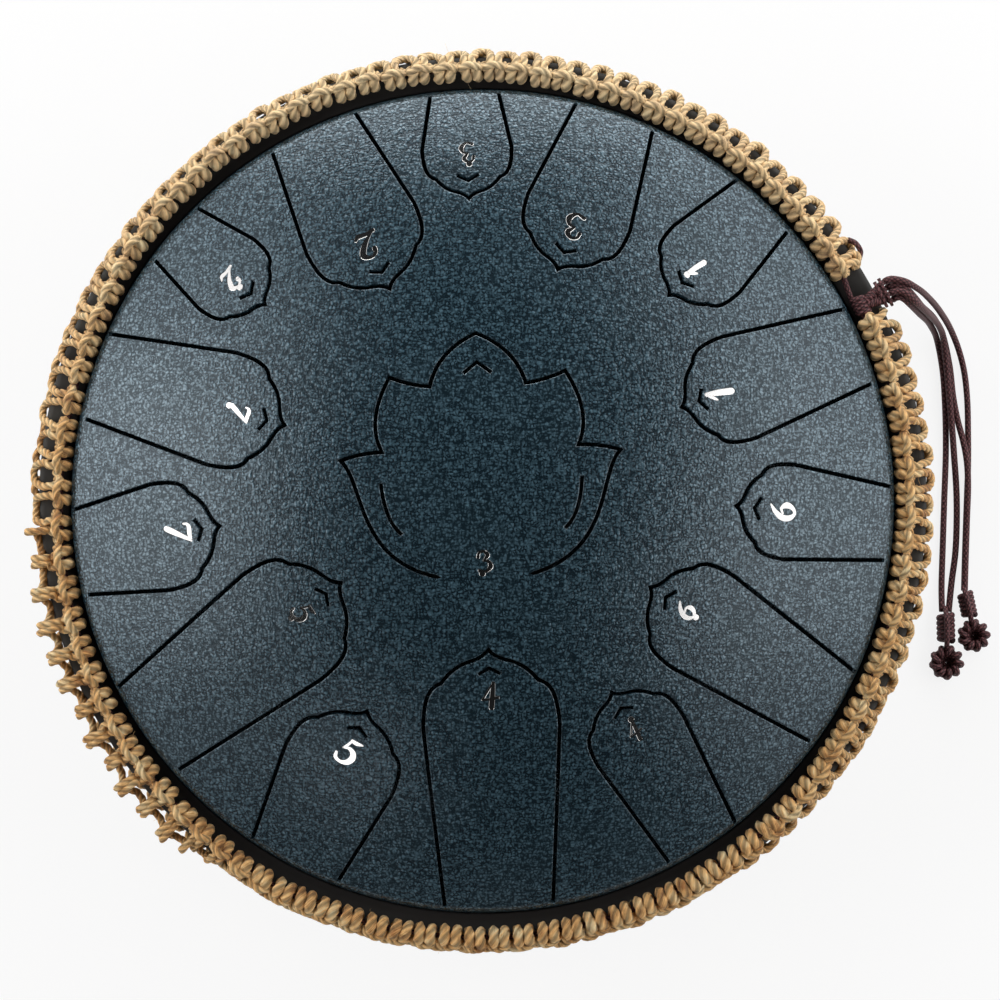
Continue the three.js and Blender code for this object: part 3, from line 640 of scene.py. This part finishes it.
# Strokes of each digit: points of (across, up, half width) for a digit of height 1
strokes = {
    "1": [[(0.03, 0.63, 0.025), (0.13, 0.74, 0.05), (0.31, 0.96, 0.03)],
          [(0.335, 0.95, 0.07), (0.27, 0.5, 0.1), (0.17, 0.04, 0.11)]],
    "2": [[(0.3, 0.7, 0.08), (0.33, 0.86, 0.06), (0.54, 0.96, 0.05), (0.79, 0.8, 0.11), (0.65, 0.52, 0.1),
           (0.32, 0.22, 0.05), (0.08, 0.06, 0.04)],
          [(0.07, 0.07, 0.06), (0.4, 0.1, 0.07), (0.7, 0.07, 0.08), (0.82, 0.18, 0.03)]],
    "3": [[(0.1, 0.71, 0.07), (0.14, 0.87, 0.055), (0.33, 0.96, 0.045), (0.53, 0.79, 0.095),
           (0.36, 0.55, 0.035)],
          [(0.36, 0.55, 0.035), (0.58, 0.48, 0.06), (0.65, 0.27, 0.105), (0.42, 0.04, 0.045),
           (0.14, 0.1, 0.065)]],
    "4": [[(0.45, 0.97, 0.03), (0.25, 0.68, 0.03), (0.04, 0.36, 0.03)],
          [(0.03, 0.36, 0.035), (0.35, 0.37, 0.04), (0.6, 0.43, 0.045)],
          [(0.45, 0.95, 0.06), (0.4, 0.5, 0.085), (0.35, 0.06, 0.09)]],
    "5": [[(0.43, 0.93, 0.06), (0.62, 0.91, 0.07), (0.83, 0.94, 0.03)],
          [(0.43, 0.94, 0.035), (0.34, 0.74, 0.04), (0.24, 0.58, 0.03)],
          [(0.23, 0.58, 0.03), (0.46, 0.63, 0.06), (0.66, 0.5, 0.1), (0.69, 0.3, 0.11), (0.54, 0.1, 0.085),
           (0.3, 0.05, 0.055), (0.11, 0.14, 0.065), (0.07, 0.3, 0.05)]],
    "6": [[(0.57, 0.97, 0.025), (0.31, 0.77, 0.08), (0.13, 0.48, 0.105), (0.15, 0.23, 0.09),
           (0.32, 0.06, 0.055), (0.51, 0.15, 0.07), (0.6, 0.38, 0.105), (0.46, 0.57, 0.05),
           (0.29, 0.5, 0.03)]],
    "7": [[(0.06, 0.74, 0.03), (0.1, 0.87, 0.05), (0.22, 0.92, 0.075), (0.49, 0.9, 0.075),
           (0.72, 0.93, 0.03)],
          [(0.69, 0.91, 0.05), (0.5, 0.62, 0.075), (0.26, 0.27, 0.1), (0.13, 0.08, 0.1)]],
}
dot_turns = np.linspace(0, 2 * math.pi, 16, endpoint=False)
dot_ways = np.column_stack([np.cos(dot_turns), np.sin(dot_turns)])


def bare_steel():
    """Etched steel: bright, with a fine brushed tooth."""
    finish, node, shader = new_finish("bare_steel")
    place = node("TexCoord").outputs["Object"]
    tooth = noise(node, place, 2200, 3)
    tint = blend(node, tooth, (0.54, 0.53, 0.52, 1), (0.68, 0.67, 0.66, 1))
    feed(shader, ("Base Color", tint), ("Normal", raised(node, tooth, 0.06, 0.0001)), ("Metallic", 1),
         ("Roughness", 0.12))
    return finish


def smooth_line(controls, steps):
    """Smooth line through control points of any dimension, with some steps to each span."""
    line = np.array(controls, float)
    ends = np.vstack([2 * line[0] - line[1], line, 2 * line[-1] - line[-2]])
    share = np.linspace(0, 1, steps, endpoint=False)[:, None]
    stay, go = 2 * share ** 3 - 3 * share ** 2 + 1, 3 * share ** 2 - 2 * share ** 3
    out, back = share ** 3 - 2 * share ** 2 + share, share ** 3 - share ** 2
    spans = []
    for a, b, c, d in zip(ends, ends[1:], ends[2:], ends[3:]):
        before, here, after = (max(np.linalg.norm(q - p), 1e-9) ** 0.5 for p, q in ((a, b), (b, c), (c, d)))
        leave = (b - a) / before - (c - a) / (before + here) + (c - b) / here
        arrive = (c - b) / here - (d - b) / (here + after) + (d - c) / after
        spans.append(stay * b + out * leave * here + go * c + back * arrive * here)
    return np.vstack([*spans, line[-1:]])


def shifted(faces, count):
    """Faces of a mesh that comes after another with so many points."""
    return [[i + count for i in face] for face in faces]


def stroke_mesh(stroke):
    """Points and faces of a pen stroke with round ends, and each point's way out of the stroke."""
    line = smooth_line(stroke, stroke_steps)
    middle, half_width = line[:, :2], line[:, 2:]
    along = unit(np.gradient(middle, axis=0))
    side = np.column_stack([-along[:, 1], along[:, 0]])
    count = len(line)
    ribbon = [[i + count, i + count + 1, i + 1, i] for i in range(count - 1)]
    points = np.vstack([middle + side * half_width, middle - side * half_width,
                        *(middle[end] + half_width[end] * dot_ways for end in (0, -1))])
    round_ends = shifted(np.arange(2 * len(dot_ways)).reshape(2, -1), 2 * count)
    return points, ribbon + round_ends, np.vstack([side, -side, dot_ways, dot_ways])


steel = bare_steel()
for name, (_, across, to_tip, up) in frames.items():
    octave, digit = name.split("_") if "_" in name else ("", name)
    points, faces, ways = np.zeros((0, 2)), [], np.zeros((0, 2))
    for stroke in strokes[digit]:
        more_points, more_faces, more_ways = stroke_mesh(stroke)
        faces += shifted(more_faces, len(points))
        points = np.vstack([points, more_points])
        ways = np.vstack([ways, more_ways])
    height = digit_height * (dotted_share if octave else 1)
    points = (points - (points.min(0) + points.max(0)) / 2) * height
    if octave:
        end = 1 if octave == "high" else -1
        at_end = points[:, 1] * end > digit_end_share * height
        dot_middle = (points[at_end, 0].mean(), end * (height / 2 + dot_radius / 3))
        faces.append(list(range(len(points), len(points) + len(dot_ways))))
        points = np.vstack([points, dot_middle + dot_radius * dot_ways])
        ways = np.vstack([ways, dot_ways])
    layers, layer_normals = [], []
    for wider, lift, lean in ((0, digit_lift, 0), (bevel_width, digit_lift / 2, bevel_lean)):
        face, normals = on_dome(to_plan(name, points + wider * ways + (0, up)))
        layers.append(face + normals * lift)
        normals[:, :2] -= lean * turn_pattern(ways[:, :1] * across + ways[:, 1:] * to_tip)
        layer_normals.append(unit(normals))
    mark = add_piece(f"digit_{name}", np.vstack(layers), faces + shifted(faces, len(points)), steel)
    mark.data.normals_split_custom_set_from_vertices(np.vstack(layer_normals).tolist())
    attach(mark, f"note_{name}")

# Rim band: a rubber channel pushed over both flanges, which keeps the shells from buzzing together.
# It is dark grey and matt, and it shows in the gap of the net and as a black line round the dome; its inner
# part is kept black as a painted shade under the net.
band_outer_radius = 179.3
band_half_height = 4.5
band_lip_radius = 166.4
band_edge = 2.5
band_lip_edge = 0.8
band_slot_radius = 175.3
band_slot_half = 1.8
band_steps = 220

# Upper half of the band's section, from the slot round the lip to the outside
half_band = [
    (band_slot_radius, band_slot_half),
    (band_lip_radius, band_slot_half),
    *arc((band_lip_radius + band_lip_edge, band_half_height - band_lip_edge), band_lip_edge, 180, 90, 3),
    *arc((band_outer_radius - band_edge, band_half_height - band_edge), band_edge, 90, 0, 6),
]
band_profile = [(radius, rim_level - height) for radius, height in half_band]
band_profile += [(radius, rim_level + height) for radius, height in half_band[::-1]]
rim_band = add_piece("channel_band", *turned(band_profile, band_steps),
                     black_rubber("band_rubber", (0.03, 0.027, 0.026), 500), crease=45)
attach(rim_band, "drum")
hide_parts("rim_band")

# Ring cords: waxed maroon braid that runs through each row of hitches and draws the net tight on the rim.
# The net has settled unevenly, so the front cord lies further in at the sides than at the top and bottom.
cord_radius = 1.15
cord_sides = 10
net_gap = (25.8, 31.8)
net_lift = 5.25
net_level = rim_level + band_half_height + net_lift
gap_draw = 2
gap_draw_spread = 2.6

# Bearings at which the net has slid in or out, and the ring cord's radius there
net_places = [
    (0, 170.6), (45, 171.4), (75, 172.3), (110, 174.9), (135, 174.6), (165, 170), (182, 169.9), (210, 172.6),
    (243, 176.1), (300, 175), (330, 173), (345, 170.9),
]


def net_radius(bearing):
    """Radius of the ring cord at a bearing in degrees."""
    return np.interp(bearing, *zip(*net_places), period=360)


def maroon_cord():
    """Waxed braid: crossing strands in low relief, coloured by their height, with painted shade in the
    grooves and a painted highlight on the crests.
    """
    finish, node, shader = new_finish("maroon_cord")
    place = node("UVMap").outputs[0]
    waves = []
    for lean in (35, -35):
        slanted = node("VectorRotate", ("Vector", place), ("Angle", math.radians(lean)),
                       rotation_type="Z_AXIS")
        wave = node("TexWave", ("Vector", slanted), ("Scale", 0.24), ("Distortion", 0.6), ("Detail", 1))
        waves.append(wave.outputs["Fac"])
    height = maths(node, "ADD", maths(node, "MULTIPLY", *waves), noise(node, place, 2.2, 4))
    # Painted shade in the grooves and painted highlight on the crests
    colour = node("ValToRGB", ("Fac", height))
    groove, crest = colour.color_ramp.elements
    groove.position = 0.45
    groove.color = (0.012, 0.0025, 0.0035, 1)
    crest.color = (0.17, 0.066, 0.07, 1)
    feed(shader, ("Base Color", colour), ("Normal", raised(node, height, 0.5, 0.0003)), ("Roughness", 0.6),
         ("Specular IOR Level", 0.3))
    return finish


def run_along(line):
    """Distance of each point from the start of its line."""
    return np.concatenate([[0], np.cumsum(np.linalg.norm(np.diff(line[:, :3], axis=0), axis=1))])


def even_line(line, spacing):
    """Line with its points set at even distances."""
    run = run_along(line)
    count = max(2, int(round(run[-1] / spacing)))
    places = np.linspace(0, run[-1], count + 1)
    return np.column_stack([np.interp(places, run, values) for values in line.T])


def rope_mesh(line, radius, sides, plies=0, ply_depth=0.0, lay_length=10.0):
    """Points, faces and unrolled coordinates of a rope along a line. Plies twist once in each lay length.
    A fourth value with each point swells or thins the rope there."""
    swell = line[:, 3:] if line.shape[1] > 3 else 1
    line = line[:, :3]
    along = unit(np.gradient(line, axis=0))
    side = np.cross(along[0], (0.31, 0.17, 0.93))
    sides_at = []
    for heading in along:
        side = unit(side - heading * (side @ heading))
        sides_at.append(side)
    side = np.array(sides_at)
    over = np.cross(along, side)
    run = run_along(line)
    turns = np.linspace(0, 2 * math.pi, sides, endpoint=False)
    phase = turns[None, :] - 2 * math.pi * run[:, None] / lay_length
    reach = (radius * swell * (1 - ply_depth + ply_depth * np.cos(plies * phase)))[..., None]
    ring = side[:, None] * np.cos(turns)[:, None] + over[:, None] * np.sin(turns)[:, None]
    points = line[:, None] + reach * ring
    here, on = np.meshgrid(np.arange(len(line) - 1), np.arange(sides), indexing="ij")
    girth = 2 * math.pi * radius
    twist = girth * run / lay_length if plies else np.zeros(len(run))
    corners = [(here, on), (here, on + 1), (here + 1, on + 1), (here + 1, on)]
    faces = np.stack([row * sides + column % sides for row, column in corners], axis=-1)
    unrolled = np.stack([np.stack([girth * column / sides - twist[row], run[row]], axis=-1)
                         for row, column in corners], axis=2)
    last = (len(line) - 1) * sides
    end_faces = [list(range(sides))[::-1], list(range(last, last + sides))]
    unrolled = np.vstack([unrolled.reshape(-1, 2), np.zeros((2 * sides, 2))])
    return points.reshape(-1, 3), faces.reshape(-1, 4).tolist() + end_faces, unrolled


def laid_rope(controls, spacing, radius, sides):
    """Rope along points that are set at even distances first."""
    return rope_mesh(even_line(np.array(controls), spacing), radius, sides)


def add_ropes(name, ropes, finish):
    """One piece from several ropes."""
    points, faces, unrolled, count = [], [], [], 0
    for rope_points, rope_faces, rope_unrolled in ropes:
        points.append(rope_points)
        faces += shifted(rope_faces, count)
        unrolled.append(rope_unrolled)
        count += len(rope_points)
    piece = add_piece(name, np.vstack(points), faces, finish)
    layer = piece.data.uv_layers.new(name="unrolled")
    layer.data.foreach_set("uv", np.vstack(unrolled).astype(np.float32).ravel())
    return piece


def around(radius, bearing, level):
    """Points at bearings in degrees round the drum."""
    turn = np.radians(bearing)
    return np.column_stack(np.broadcast_arrays(radius * np.cos(turn), radius * np.sin(turn), level))


braid = maroon_cord()
ring_bearings = np.linspace(0, 360, 501)
from_gap = (ring_bearings - sum(net_gap) / 2) / gap_draw_spread
for row, level, drawn_in in (("front", net_level, gap_draw), ("rear", 2 * rim_level - net_level, 0)):
    line = around(net_radius(ring_bearings) - drawn_in * np.exp(-from_gap ** 2), ring_bearings, level)
    ring_cord = add_ropes(f"{row}_draw_cord", [rope_mesh(line, cord_radius, cord_sides)], braid)
    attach(ring_cord, "drum")
    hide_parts(f"{row}_ring_cord")

# Net: one jute twine for each row, tied in cow hitches round its ring cord. The loops between the hitches
# lap over the rim and meet those of the other row. On the left they have come loose and stand out.
twine_radius = 1.9
twine_plies = 3
twine_lay = 11
ply_depth = 0.1
hitch_count = 104
hitch_pitch = (360 - (net_gap[1] - net_gap[0])) / hitch_count
loop_radius = 181
loose_bearings = (146, 158, 208, 222)
finger_bearings = (180, 184, 229, 233)
finger_length = 12.6
finger_fork = (9, -7)
pitch_reach = 4
rolled_bearings = (231, 246, 302, 326)
hitch_roll = math.radians(75)
roll_press = 0.8
# Spans within which the hitches, fingers and loops come out unlike each other
finger_stretch = (0.86, 1.14)
cord_stray = (-0.4, 0.4)
hitch_size = (0.94, 1.08)
hitch_lift = (-0.3, 0.3)
hitch_skew = (-0.25, 0.25)
loop_stray = (-0.8, 0.9)
loop_level = (-9.5, -7)
loop_lean = (-1.2, 1.2)

# Half of a hitch: points of (sideways, outward, up, swell) from the ring cord. They run from the leg that
# comes out under the bar to the bar's middle. The twine is pressed broad where it wraps the cord.
half_hitch = [
    (-1.4, 4.6, 1.6, 0.86), (-1.7, 2.2, 2.7, 0.96), (-2.05, -0.4, 3.25, 1.2), (-2.1, -2.5, 1.9, 1.26),
    (-2.1, -2.9, -0.6, 1.2), (-2.2, -2.0, -2.6, 1), (-2.8, 0.6, -3.0, 0.9), (-3.6, 2.2, -1.2, 0.75),
    (-4.3, 1.3, 1.5, 0.7), (-3.9, 0.2, 3.7, 0.78), (-2.2, 0.9, 5.2, 0.86), (0, 1.5, 5.7, 0.88),
]
# Ends of the twine beside the gap, tucked down in front of the first hitch and behind the last
first_end = [(-2.9, 6.6, -6, 0.8), (-2.8, 7.4, -1.5, 0.8)]
last_end = [(2.6, 7.6, -2, 0.8), (3, 7, -7, 0.8)]


def jute():
    """Twisted jute: pale and brown fibres that run with the plies, with painted shade where the plies meet,
    and paler towards +Y as a painted light from that side.
    """
    finish, node, shader = new_finish("jute")
    place = node("UVMap").outputs[0]
    solid = node("TexCoord").outputs["Object"]
    combed = node("Mapping", ("Vector", place), ("Scale", (1.9, 0.16, 1)))
    fibres = noise(node, combed, 1.5, 4, ("Roughness", 0.7))
    mixed = maths(node, "ADD", fibres, noise(node, solid, 130, 3))
    colour = node("ValToRGB", ("Fac", ranged(node, mixed, (0.75, 1.27))))
    colour.color_ramp.elements[0].color = (0.4, 0.15, 0.035, 1)
    colour.color_ramp.elements.new(0.45).color = (0.96, 0.55, 0.2, 1)
    colour.color_ramp.elements[2].color = (1, 0.82, 0.48, 1)
    # Painted light: the twine grows paler towards +Y, where the light falls strongest
    towards_top = node("SeparateXYZ", (0, solid)).outputs["Y"]
    painted_top_light = ranged(node, towards_top, (0.02, 0.17), (0, 0.6))
    colour = blend(node, painted_top_light, colour, (1, 0.8, 0.49, 1))
    # Painted shade where the plies meet
    girth = node("SeparateXYZ", (0, place)).outputs["X"]
    phase = maths(node, "MULTIPLY", girth, twine_plies / twine_radius)
    crown = maths(node, "COSINE", maths(node, "MULTIPLY_ADD", fibres, 2.4, phase))
    shade = ranged(node, crown, (-1, 0.4), (0.42, 1))
    colour = blend(node, 1, colour, shade, blend_type="MULTIPLY")
    height = maths(node, "MULTIPLY_ADD", crown, 0.35, fibres)
    feed(shader, ("Base Color", colour), ("Normal", raised(node, height, 1, 0.0006)), ("Roughness", 0.7),
         ("Sheen Weight", 0.4), ("Sheen Tint", (1, 0.78, 0.5, 1)), ("Sheen Roughness", 0.5))
    return finish


def ease(value, low, high):
    """Smooth step from 0 at low to 1 at high."""
    share = np.clip((value - low) / (high - low), 0, 1)
    return share * share * (3 - 2 * share)


def swing(bearing, start, full, fading, end):
    """How far a change of the net has come at a bearing: none before its start, all from full to fading."""
    return ease(bearing, start, full) * (1 - ease(bearing, fading, end))


def hitch_bearings(shift):
    """Bearings of the hitches, unevenly spread, with a few wider gaps on the left."""
    gaps = []
    for i in range(hitch_count):
        loose = swing(net_gap[1] + (i + shift) * hitch_pitch, *loose_bearings)
        gaps.append(1 + random.uniform(-0.07, 0.07) + loose * random.choice((0.1, 0.2, 0.45)))
    run = np.cumsum(gaps) - np.array(gaps) / 2
    return net_gap[1] + run / sum(gaps) * hitch_pitch * hitch_count


def hitch(size, lift, roll):
    """Points of a whole hitch, rolled outward round the ring cord."""
    half = []
    for side, out, up, swell in half_hitch:
        over = out * math.cos(roll) + up * math.sin(roll)
        over *= roll_press if roll and over > 0 else 1
        half.append((side * size, over, up * math.cos(roll) - out * math.sin(roll) + lift, swell))
    return half + [(-side, *rest) for side, *rest in half[-2::-1]]


def finger(tip):
    """Points of one side of a loose loop, out to its tip and back under it."""
    return [(1, 5.4, 2.4), (1, 0.75 * tip, 2.4), (1.1, tip, -0.2), (1.5, tip - 2.6, -3.8)]


def whole_loop(first, middle, last, pitch):
    """Points of a loop from one hitch over its middle to the next hitch."""
    return [*first, middle, *((pitch - side, out, up) for side, out, up in last[::-1])]


def net_line(bearings, fingers):
    """Points and swells of one row's twine, in the frame of the front row."""
    controls = []
    tips = [finger_length * random.uniform(*finger_stretch) for _ in bearings]
    fill = np.maximum(np.gradient(bearings) / hitch_pitch, 1)
    last = len(bearings) - 1
    for i, bearing in enumerate(bearings):
        radius = net_radius(bearing) + random.uniform(*cord_stray)
        size = random.uniform(*hitch_size) * fill[i]
        lift = random.uniform(*hitch_lift)
        skew = random.uniform(*hitch_skew)
        points = hitch(size, lift, hitch_roll * swing(bearing, *rolled_bearings))
        leg_side, *leg, leg_swell = points[0]
        points = (first_end if i == 0 else []) + points + (last_end if i == last else [])
        controls += [(bearing, radius, side + skew * out, out, up, swell) for side, out, up, swell in points]
        if i == last:
            break
        pitch = math.radians(bearings[i + 1] - bearing) * (radius + pitch_reach)
        apex = np.array([loop_radius + random.uniform(*loop_stray) - radius, random.uniform(*loop_level)])
        middle = 0.5 * pitch + random.uniform(*loop_lean)
        shares = [(-leg_side, 0.2), (-leg_side + 0.3, 0.5), (0.21 * pitch, 0.78), (0.33 * pitch, 0.96)]
        half_loop = [(side, *(leg + share * (apex - leg))) for side, share in shares]
        tight_loop = whole_loop(half_loop, (middle, *apex), half_loop, pitch)
        loose_loop = whole_loop(finger(tips[i]), (middle, *finger_fork), finger(tips[i + 1]), pitch)
        loose = fingers * swing((bearing + bearings[i + 1]) / 2, *finger_bearings)
        for side, out, up in (1 - loose) * np.array(tight_loop) + loose * np.array(loose_loop):
            controls.append((bearing, radius, side, out, up, leg_swell))
    bearing, radius, side, out, up, swell = np.array(controls).T
    reach = radius + out
    turn = np.radians(bearing) + side / reach
    return np.column_stack([reach * np.cos(turn), reach * np.sin(turn), net_level + up, swell])


def wound(turns, steps):
    """Shares of the way along a winding, and its angles there."""
    share = np.linspace(0, 1, steps)
    return share, 2 * math.pi * turns * share


twine = jute()
twine_mesh = partial(rope_mesh, radius=twine_radius, plies=twine_plies, ply_depth=ply_depth,
                     lay_length=twine_lay)
front_line = even_line(smooth_line(net_line(hitch_bearings(0), 1), 6), 0.9)
# Knob of the twine's end, wound one and a half times beside the gap
knob_middle = (149.8, 96.9, 86.5)
knob_reach = (1.3, 2.6, 1.1)
knob_swell = 0.85
_, turn = wound(1.5, 40)
knob_ways = np.column_stack([np.cos(turn), np.sin(turn), np.sin(2 * turn)])
end_knob = np.column_stack([knob_middle + knob_ways * knob_reach, np.full(len(turn), knob_swell)])
front_net = add_ropes("front_net", [
    twine_mesh(front_line, sides=18),
    twine_mesh(even_line(end_knob, 0.8), sides=12)], twine)
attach(front_net, "drum")
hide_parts("front_knot_row", "rim_lacing")
rear_line = even_line(smooth_line(net_line(hitch_bearings(0.5), 0), 5), 1.25)
rear_line[:, 2] = 2 * rim_level - rear_line[:, 2]
rear_net = add_ropes("rear_net", [twine_mesh(rear_line, sides=12)], twine)
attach(rear_net, "drum")
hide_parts("rear_knot_row")

# Fibres that have sprung loose from the front row
fibre_count = 110
fibre_radius = 0.05
fibre_length = (1.5, 4)
fibre_root = 0.7 * twine_radius
fibre_curl = 0.6
fuzz = []
for _ in range(fibre_count):
    start = random.choice(front_line)[:3]
    out = Vector((start[0], start[1], 0)).normalized()
    drift = Vector((random.uniform(-0.7, 0.7), random.uniform(-0.7, 0.7), random.uniform(0, 1)))
    way = np.array((out * random.uniform(-1, 0.6) + drift).normalized())
    curl = np.array([random.uniform(-1, 1), random.uniform(-1, 1), random.uniform(-1, 0.4)])
    length = random.uniform(*fibre_length)
    share = np.linspace(0, 1, 5)[:, None]
    hair = start + way * (fibre_root + length * share) + curl * length * fibre_curl * share ** 2
    fuzz.append(rope_mesh(hair, fibre_radius, 3))
loose_fibres = add_ropes("loose_fibres", fuzz, twine)
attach(loose_fibres, "drum")

# Tie: the ends of the front ring cord are wrapped round it in the gap of the net, then plaited out over
# the rim. Two short thread whippings near the end hold the plait flat where the four tails leave it.
tie_bearing = 27.4
tie_radius = 172.6
wrap_reach = 2.35
wrap_back = 1.6
wrap_span = (-3.4, 3.2)
wrap_turns = 3.5
plait_start = 0.4
plait_reach = 11.3
plait_drop = 2
plait_turns = 1.6
plait_lift = 1.25
plait_widths = (1.5, 4.1)
plait_settles = (0.62, 0.95)
tail_spacing = 2.65
tail_stagger = 0.9
whippings = [(7.4, 5.4), (9.6, 5.9)]
whipping_turns = 2
whipping_length = 0.75
whipping_lift = 2.5
thread_radius = 0.42
end_loop = [(147.6, 105.5, 82), (150.4, 103.7, 86), (152.1, 100.9, 86.5), (151.8, 97.5, 83)]


def placed(start, bearing, out, across, up):
    """Points at distances from a start: out at a bearing, across it and up."""
    turn = math.radians(bearing)
    ways = [(math.cos(turn), math.sin(turn), 0), (-math.sin(turn), math.cos(turn), 0), (0, 0, 1)]
    return start + np.column_stack(np.broadcast_arrays(out, across, up)) @ np.array(ways)


in_tie = partial(placed, around(tie_radius, tie_bearing, net_level)[0], tie_bearing)


def plait_strand(strand):
    """Points of one of the four strands, which weave and then settle side by side."""
    share, turn = wound(plait_turns, 26)
    turn += strand * math.pi / 2
    half_width = plait_widths[0] + (plait_widths[1] - plait_widths[0]) * share
    settle = ease(share, *plait_settles)
    across = (1 - settle) * half_width * np.cos(turn) + settle * (strand - 1.5) * tail_spacing
    up = (1 - settle) * plait_lift * np.sin(2 * turn) - plait_drop * share ** 2
    up += settle * tail_stagger * (-1) ** (strand + 1)
    return in_tie(plait_start + (plait_reach - plait_start) * share, across, up)


share, turn = wound(wrap_turns, 80)
wraps = in_tie(wrap_reach * np.cos(turn) - wrap_back, wrap_span[0] + (wrap_span[1] - wrap_span[0]) * share,
               wrap_reach * np.sin(turn))
tie = add_ropes("plait", [
    laid_rope(wraps, 0.7, cord_radius, 8),
    *(laid_rope(plait_strand(strand), 0.8, cord_radius, 8) for strand in range(4)),
    laid_rope(smooth_line(end_loop, 8), 0.8, cord_radius, 8)], braid)
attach(tie, "drum")
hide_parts("tie_knot")

threads = []
share, turn = wound(whipping_turns, 64)
for out, half_width in whippings:
    sag = plait_drop * (out / plait_reach) ** 2
    rings = in_tie(out + whipping_length * share, half_width * np.cos(turn),
                   whipping_lift * np.sin(turn) - sag)
    threads.append(laid_rope(rings, 0.5, thread_radius, 7))
whipping = add_ropes("thread_whipping", threads, braid)
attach(whipping, "drum")
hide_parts("tie_whipping")

# Pendants: each pair of tails is wrapped into a barrel knot and ends below it in a wreath of small loops.
# They are of the same waxed cord and lie on the ground beside the drum.
pendants = {
    "a": {"top": (195.1, -47), "bearing": -88.5, "barrel": (7.8, 13.3), "flower": 15.2},
    "b": {"top": (203.2, -38.2), "bearing": -78, "barrel": (7.0, 11.6), "flower": 14.4},
}
barrel_wraps = 5
barrel_lift = 0.3
wrap_swell = 1.12
flower_loops = 9
flower_level = 4
flower_inset = 2.7
loop_reach = (1.45, 2.5)
loop_cord_radius = 1.25
cup_turns = 4
cup_levels = (1.3, 1.6)
cup_overlap = 0.8
for letter, pendant in pendants.items():
    in_pendant = partial(placed, (*pendant["top"], 0), pendant["bearing"])
    width, length = pendant["barrel"]
    wrap_radius = length / barrel_wraps / 2
    reach = width / 2 - wrap_radius
    share, turn = wound(barrel_wraps, 24 * barrel_wraps)
    coil = in_pendant(wrap_radius + (length - 2 * wrap_radius) * share, reach * np.cos(turn),
                      width / 2 + barrel_lift + reach * np.sin(turn))
    crest = in_pendant([-2, 1.5, length / 2, length - 1, length + 3], 0,
                       [4.6, width + 0.4, width + 1.1, width + 0.3, 4.4])
    barrel = add_ropes(f"wrapped_knot_{letter}", [
        laid_rope(coil, 0.6, wrap_swell * wrap_radius, 9),
        laid_rope(smooth_line(crest, 8), 0.7, cord_radius, 9)], braid)
    flower_radius = pendant["flower"] / 2
    ring = flower_radius - flower_inset
    heart = length + barrel_lift + flower_radius
    _, turn = wound(1, 24 * flower_loops)
    reach = ring + loop_reach[0] * np.cos(flower_loops * turn)
    wreath = in_pendant(heart + reach * np.cos(turn), reach * np.sin(turn),
                        flower_level + loop_reach[1] * np.sin(flower_loops * turn))
    share, turn = wound(cup_turns, 110)
    reach = (ring + cup_overlap) * share
    cup = in_pendant(heart + reach * np.cos(turn), reach * np.sin(turn),
                     cup_levels[0] + cup_levels[1] * (reach / ring) ** 2)
    flower = add_ropes(f"loop_wreath_{letter}", [
        laid_rope(wreath, 0.6, loop_cord_radius, 8),
        laid_rope(cup, 0.7, cord_radius, 7)], braid)
    for knot, node in ((barrel, "barrel_knot"), (flower, "flower_knot")):
        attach(knot, "drum")
        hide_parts(f"{node}_{letter}")

# Tails: the four cord ends leave the plait side by side, drop over the rim and lie on the ground. Two go
# to each pendant, and the inner one of the second pair crosses over to lie on its neighbour.
ground = 1.25
stacked = 3.95
tail_lead = 2.5
tail_radius = 1.36

# Each tail: its place in the plait, its stagger, the pendant that counts with it, and its route
tails = {
    "tail_a_left": (-1.5, -1, "a", [
        (169.8, 81.4, 86), (172, 79.8, 83.5), (177.5, 76.6, 68), (187.1, 73.3, 22), (191.6, 67.8, 4.5),
        (194, 57, ground), (195.2, 42, ground), (195.6, 22, ground), (194.9, 0, ground),
        (194.2, -22, ground), (193.7, -37, 2), (193.7, -46.7, 4)]),
    "tail_a_right": (-0.5, 1, "", [
        (170.4, 83.6, 89), (173.8, 80.7, 87.2), (180.4, 77.1, 69), (190.4, 72.9, 23.5), (193.7, 68.9, 9),
        (195.6, 57.3, 4.1), (197, 42.4, 4.1), (198, 30, 4.1), (199, 18, 3), (200, 6, ground),
        (200.2, -8, ground), (199.6, -22, 1.5), (198, -34, 2), (196.5, -46.7, 4)]),
    "tail_b_left": (0.5, -1, "", [
        (170.9, 85.4, 86), (173.6, 83, 83.7), (178.5, 79.6, 68), (188.8, 75.8, 22.5), (194.1, 69.6, 4.6),
        (197.1, 57.6, ground), (198.7, 44, ground), (200.6, 34, 1.6), (202.8, 25, 3.4), (204.2, 17, stacked),
        (204.7, 7, stacked), (204.2, -8, stacked), (203.6, -26, 4.2), (203.2, -37.9, 4.9)]),
    "tail_b_right": (1.5, 1, "b", [
        (169.2, 88.6, 88.3), (175, 86.3, 81.5), (182.9, 83, 57), (190.4, 78.3, 31), (197, 71.6, 10),
        (200.9, 64, 2.5), (203.2, 55.6, ground), (204.6, 43.7, ground), (205, 28, ground), (205, 15, ground),
        (204.6, 3, ground), (204.2, -8, ground), (203.6, -26, 1.5), (203.2, -37.9, 2.2)]),
}
for name, (place, side, letter, route) in tails.items():
    start, lead = in_tie([plait_reach, plait_reach + tail_lead], place * tail_spacing,
                         side * tail_stagger - plait_drop)
    line = even_line(smooth_line([start, lead, *route], 10), 1.6)
    line[:, 2] = np.maximum(line[:, 2], tail_radius)
    length = run_along(line)[-1]
    tail = add_ropes(name.replace("tail", "cord_end"), [rope_mesh(line, tail_radius, cord_sides)], braid)
    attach(tail, "drum")
    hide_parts(name)
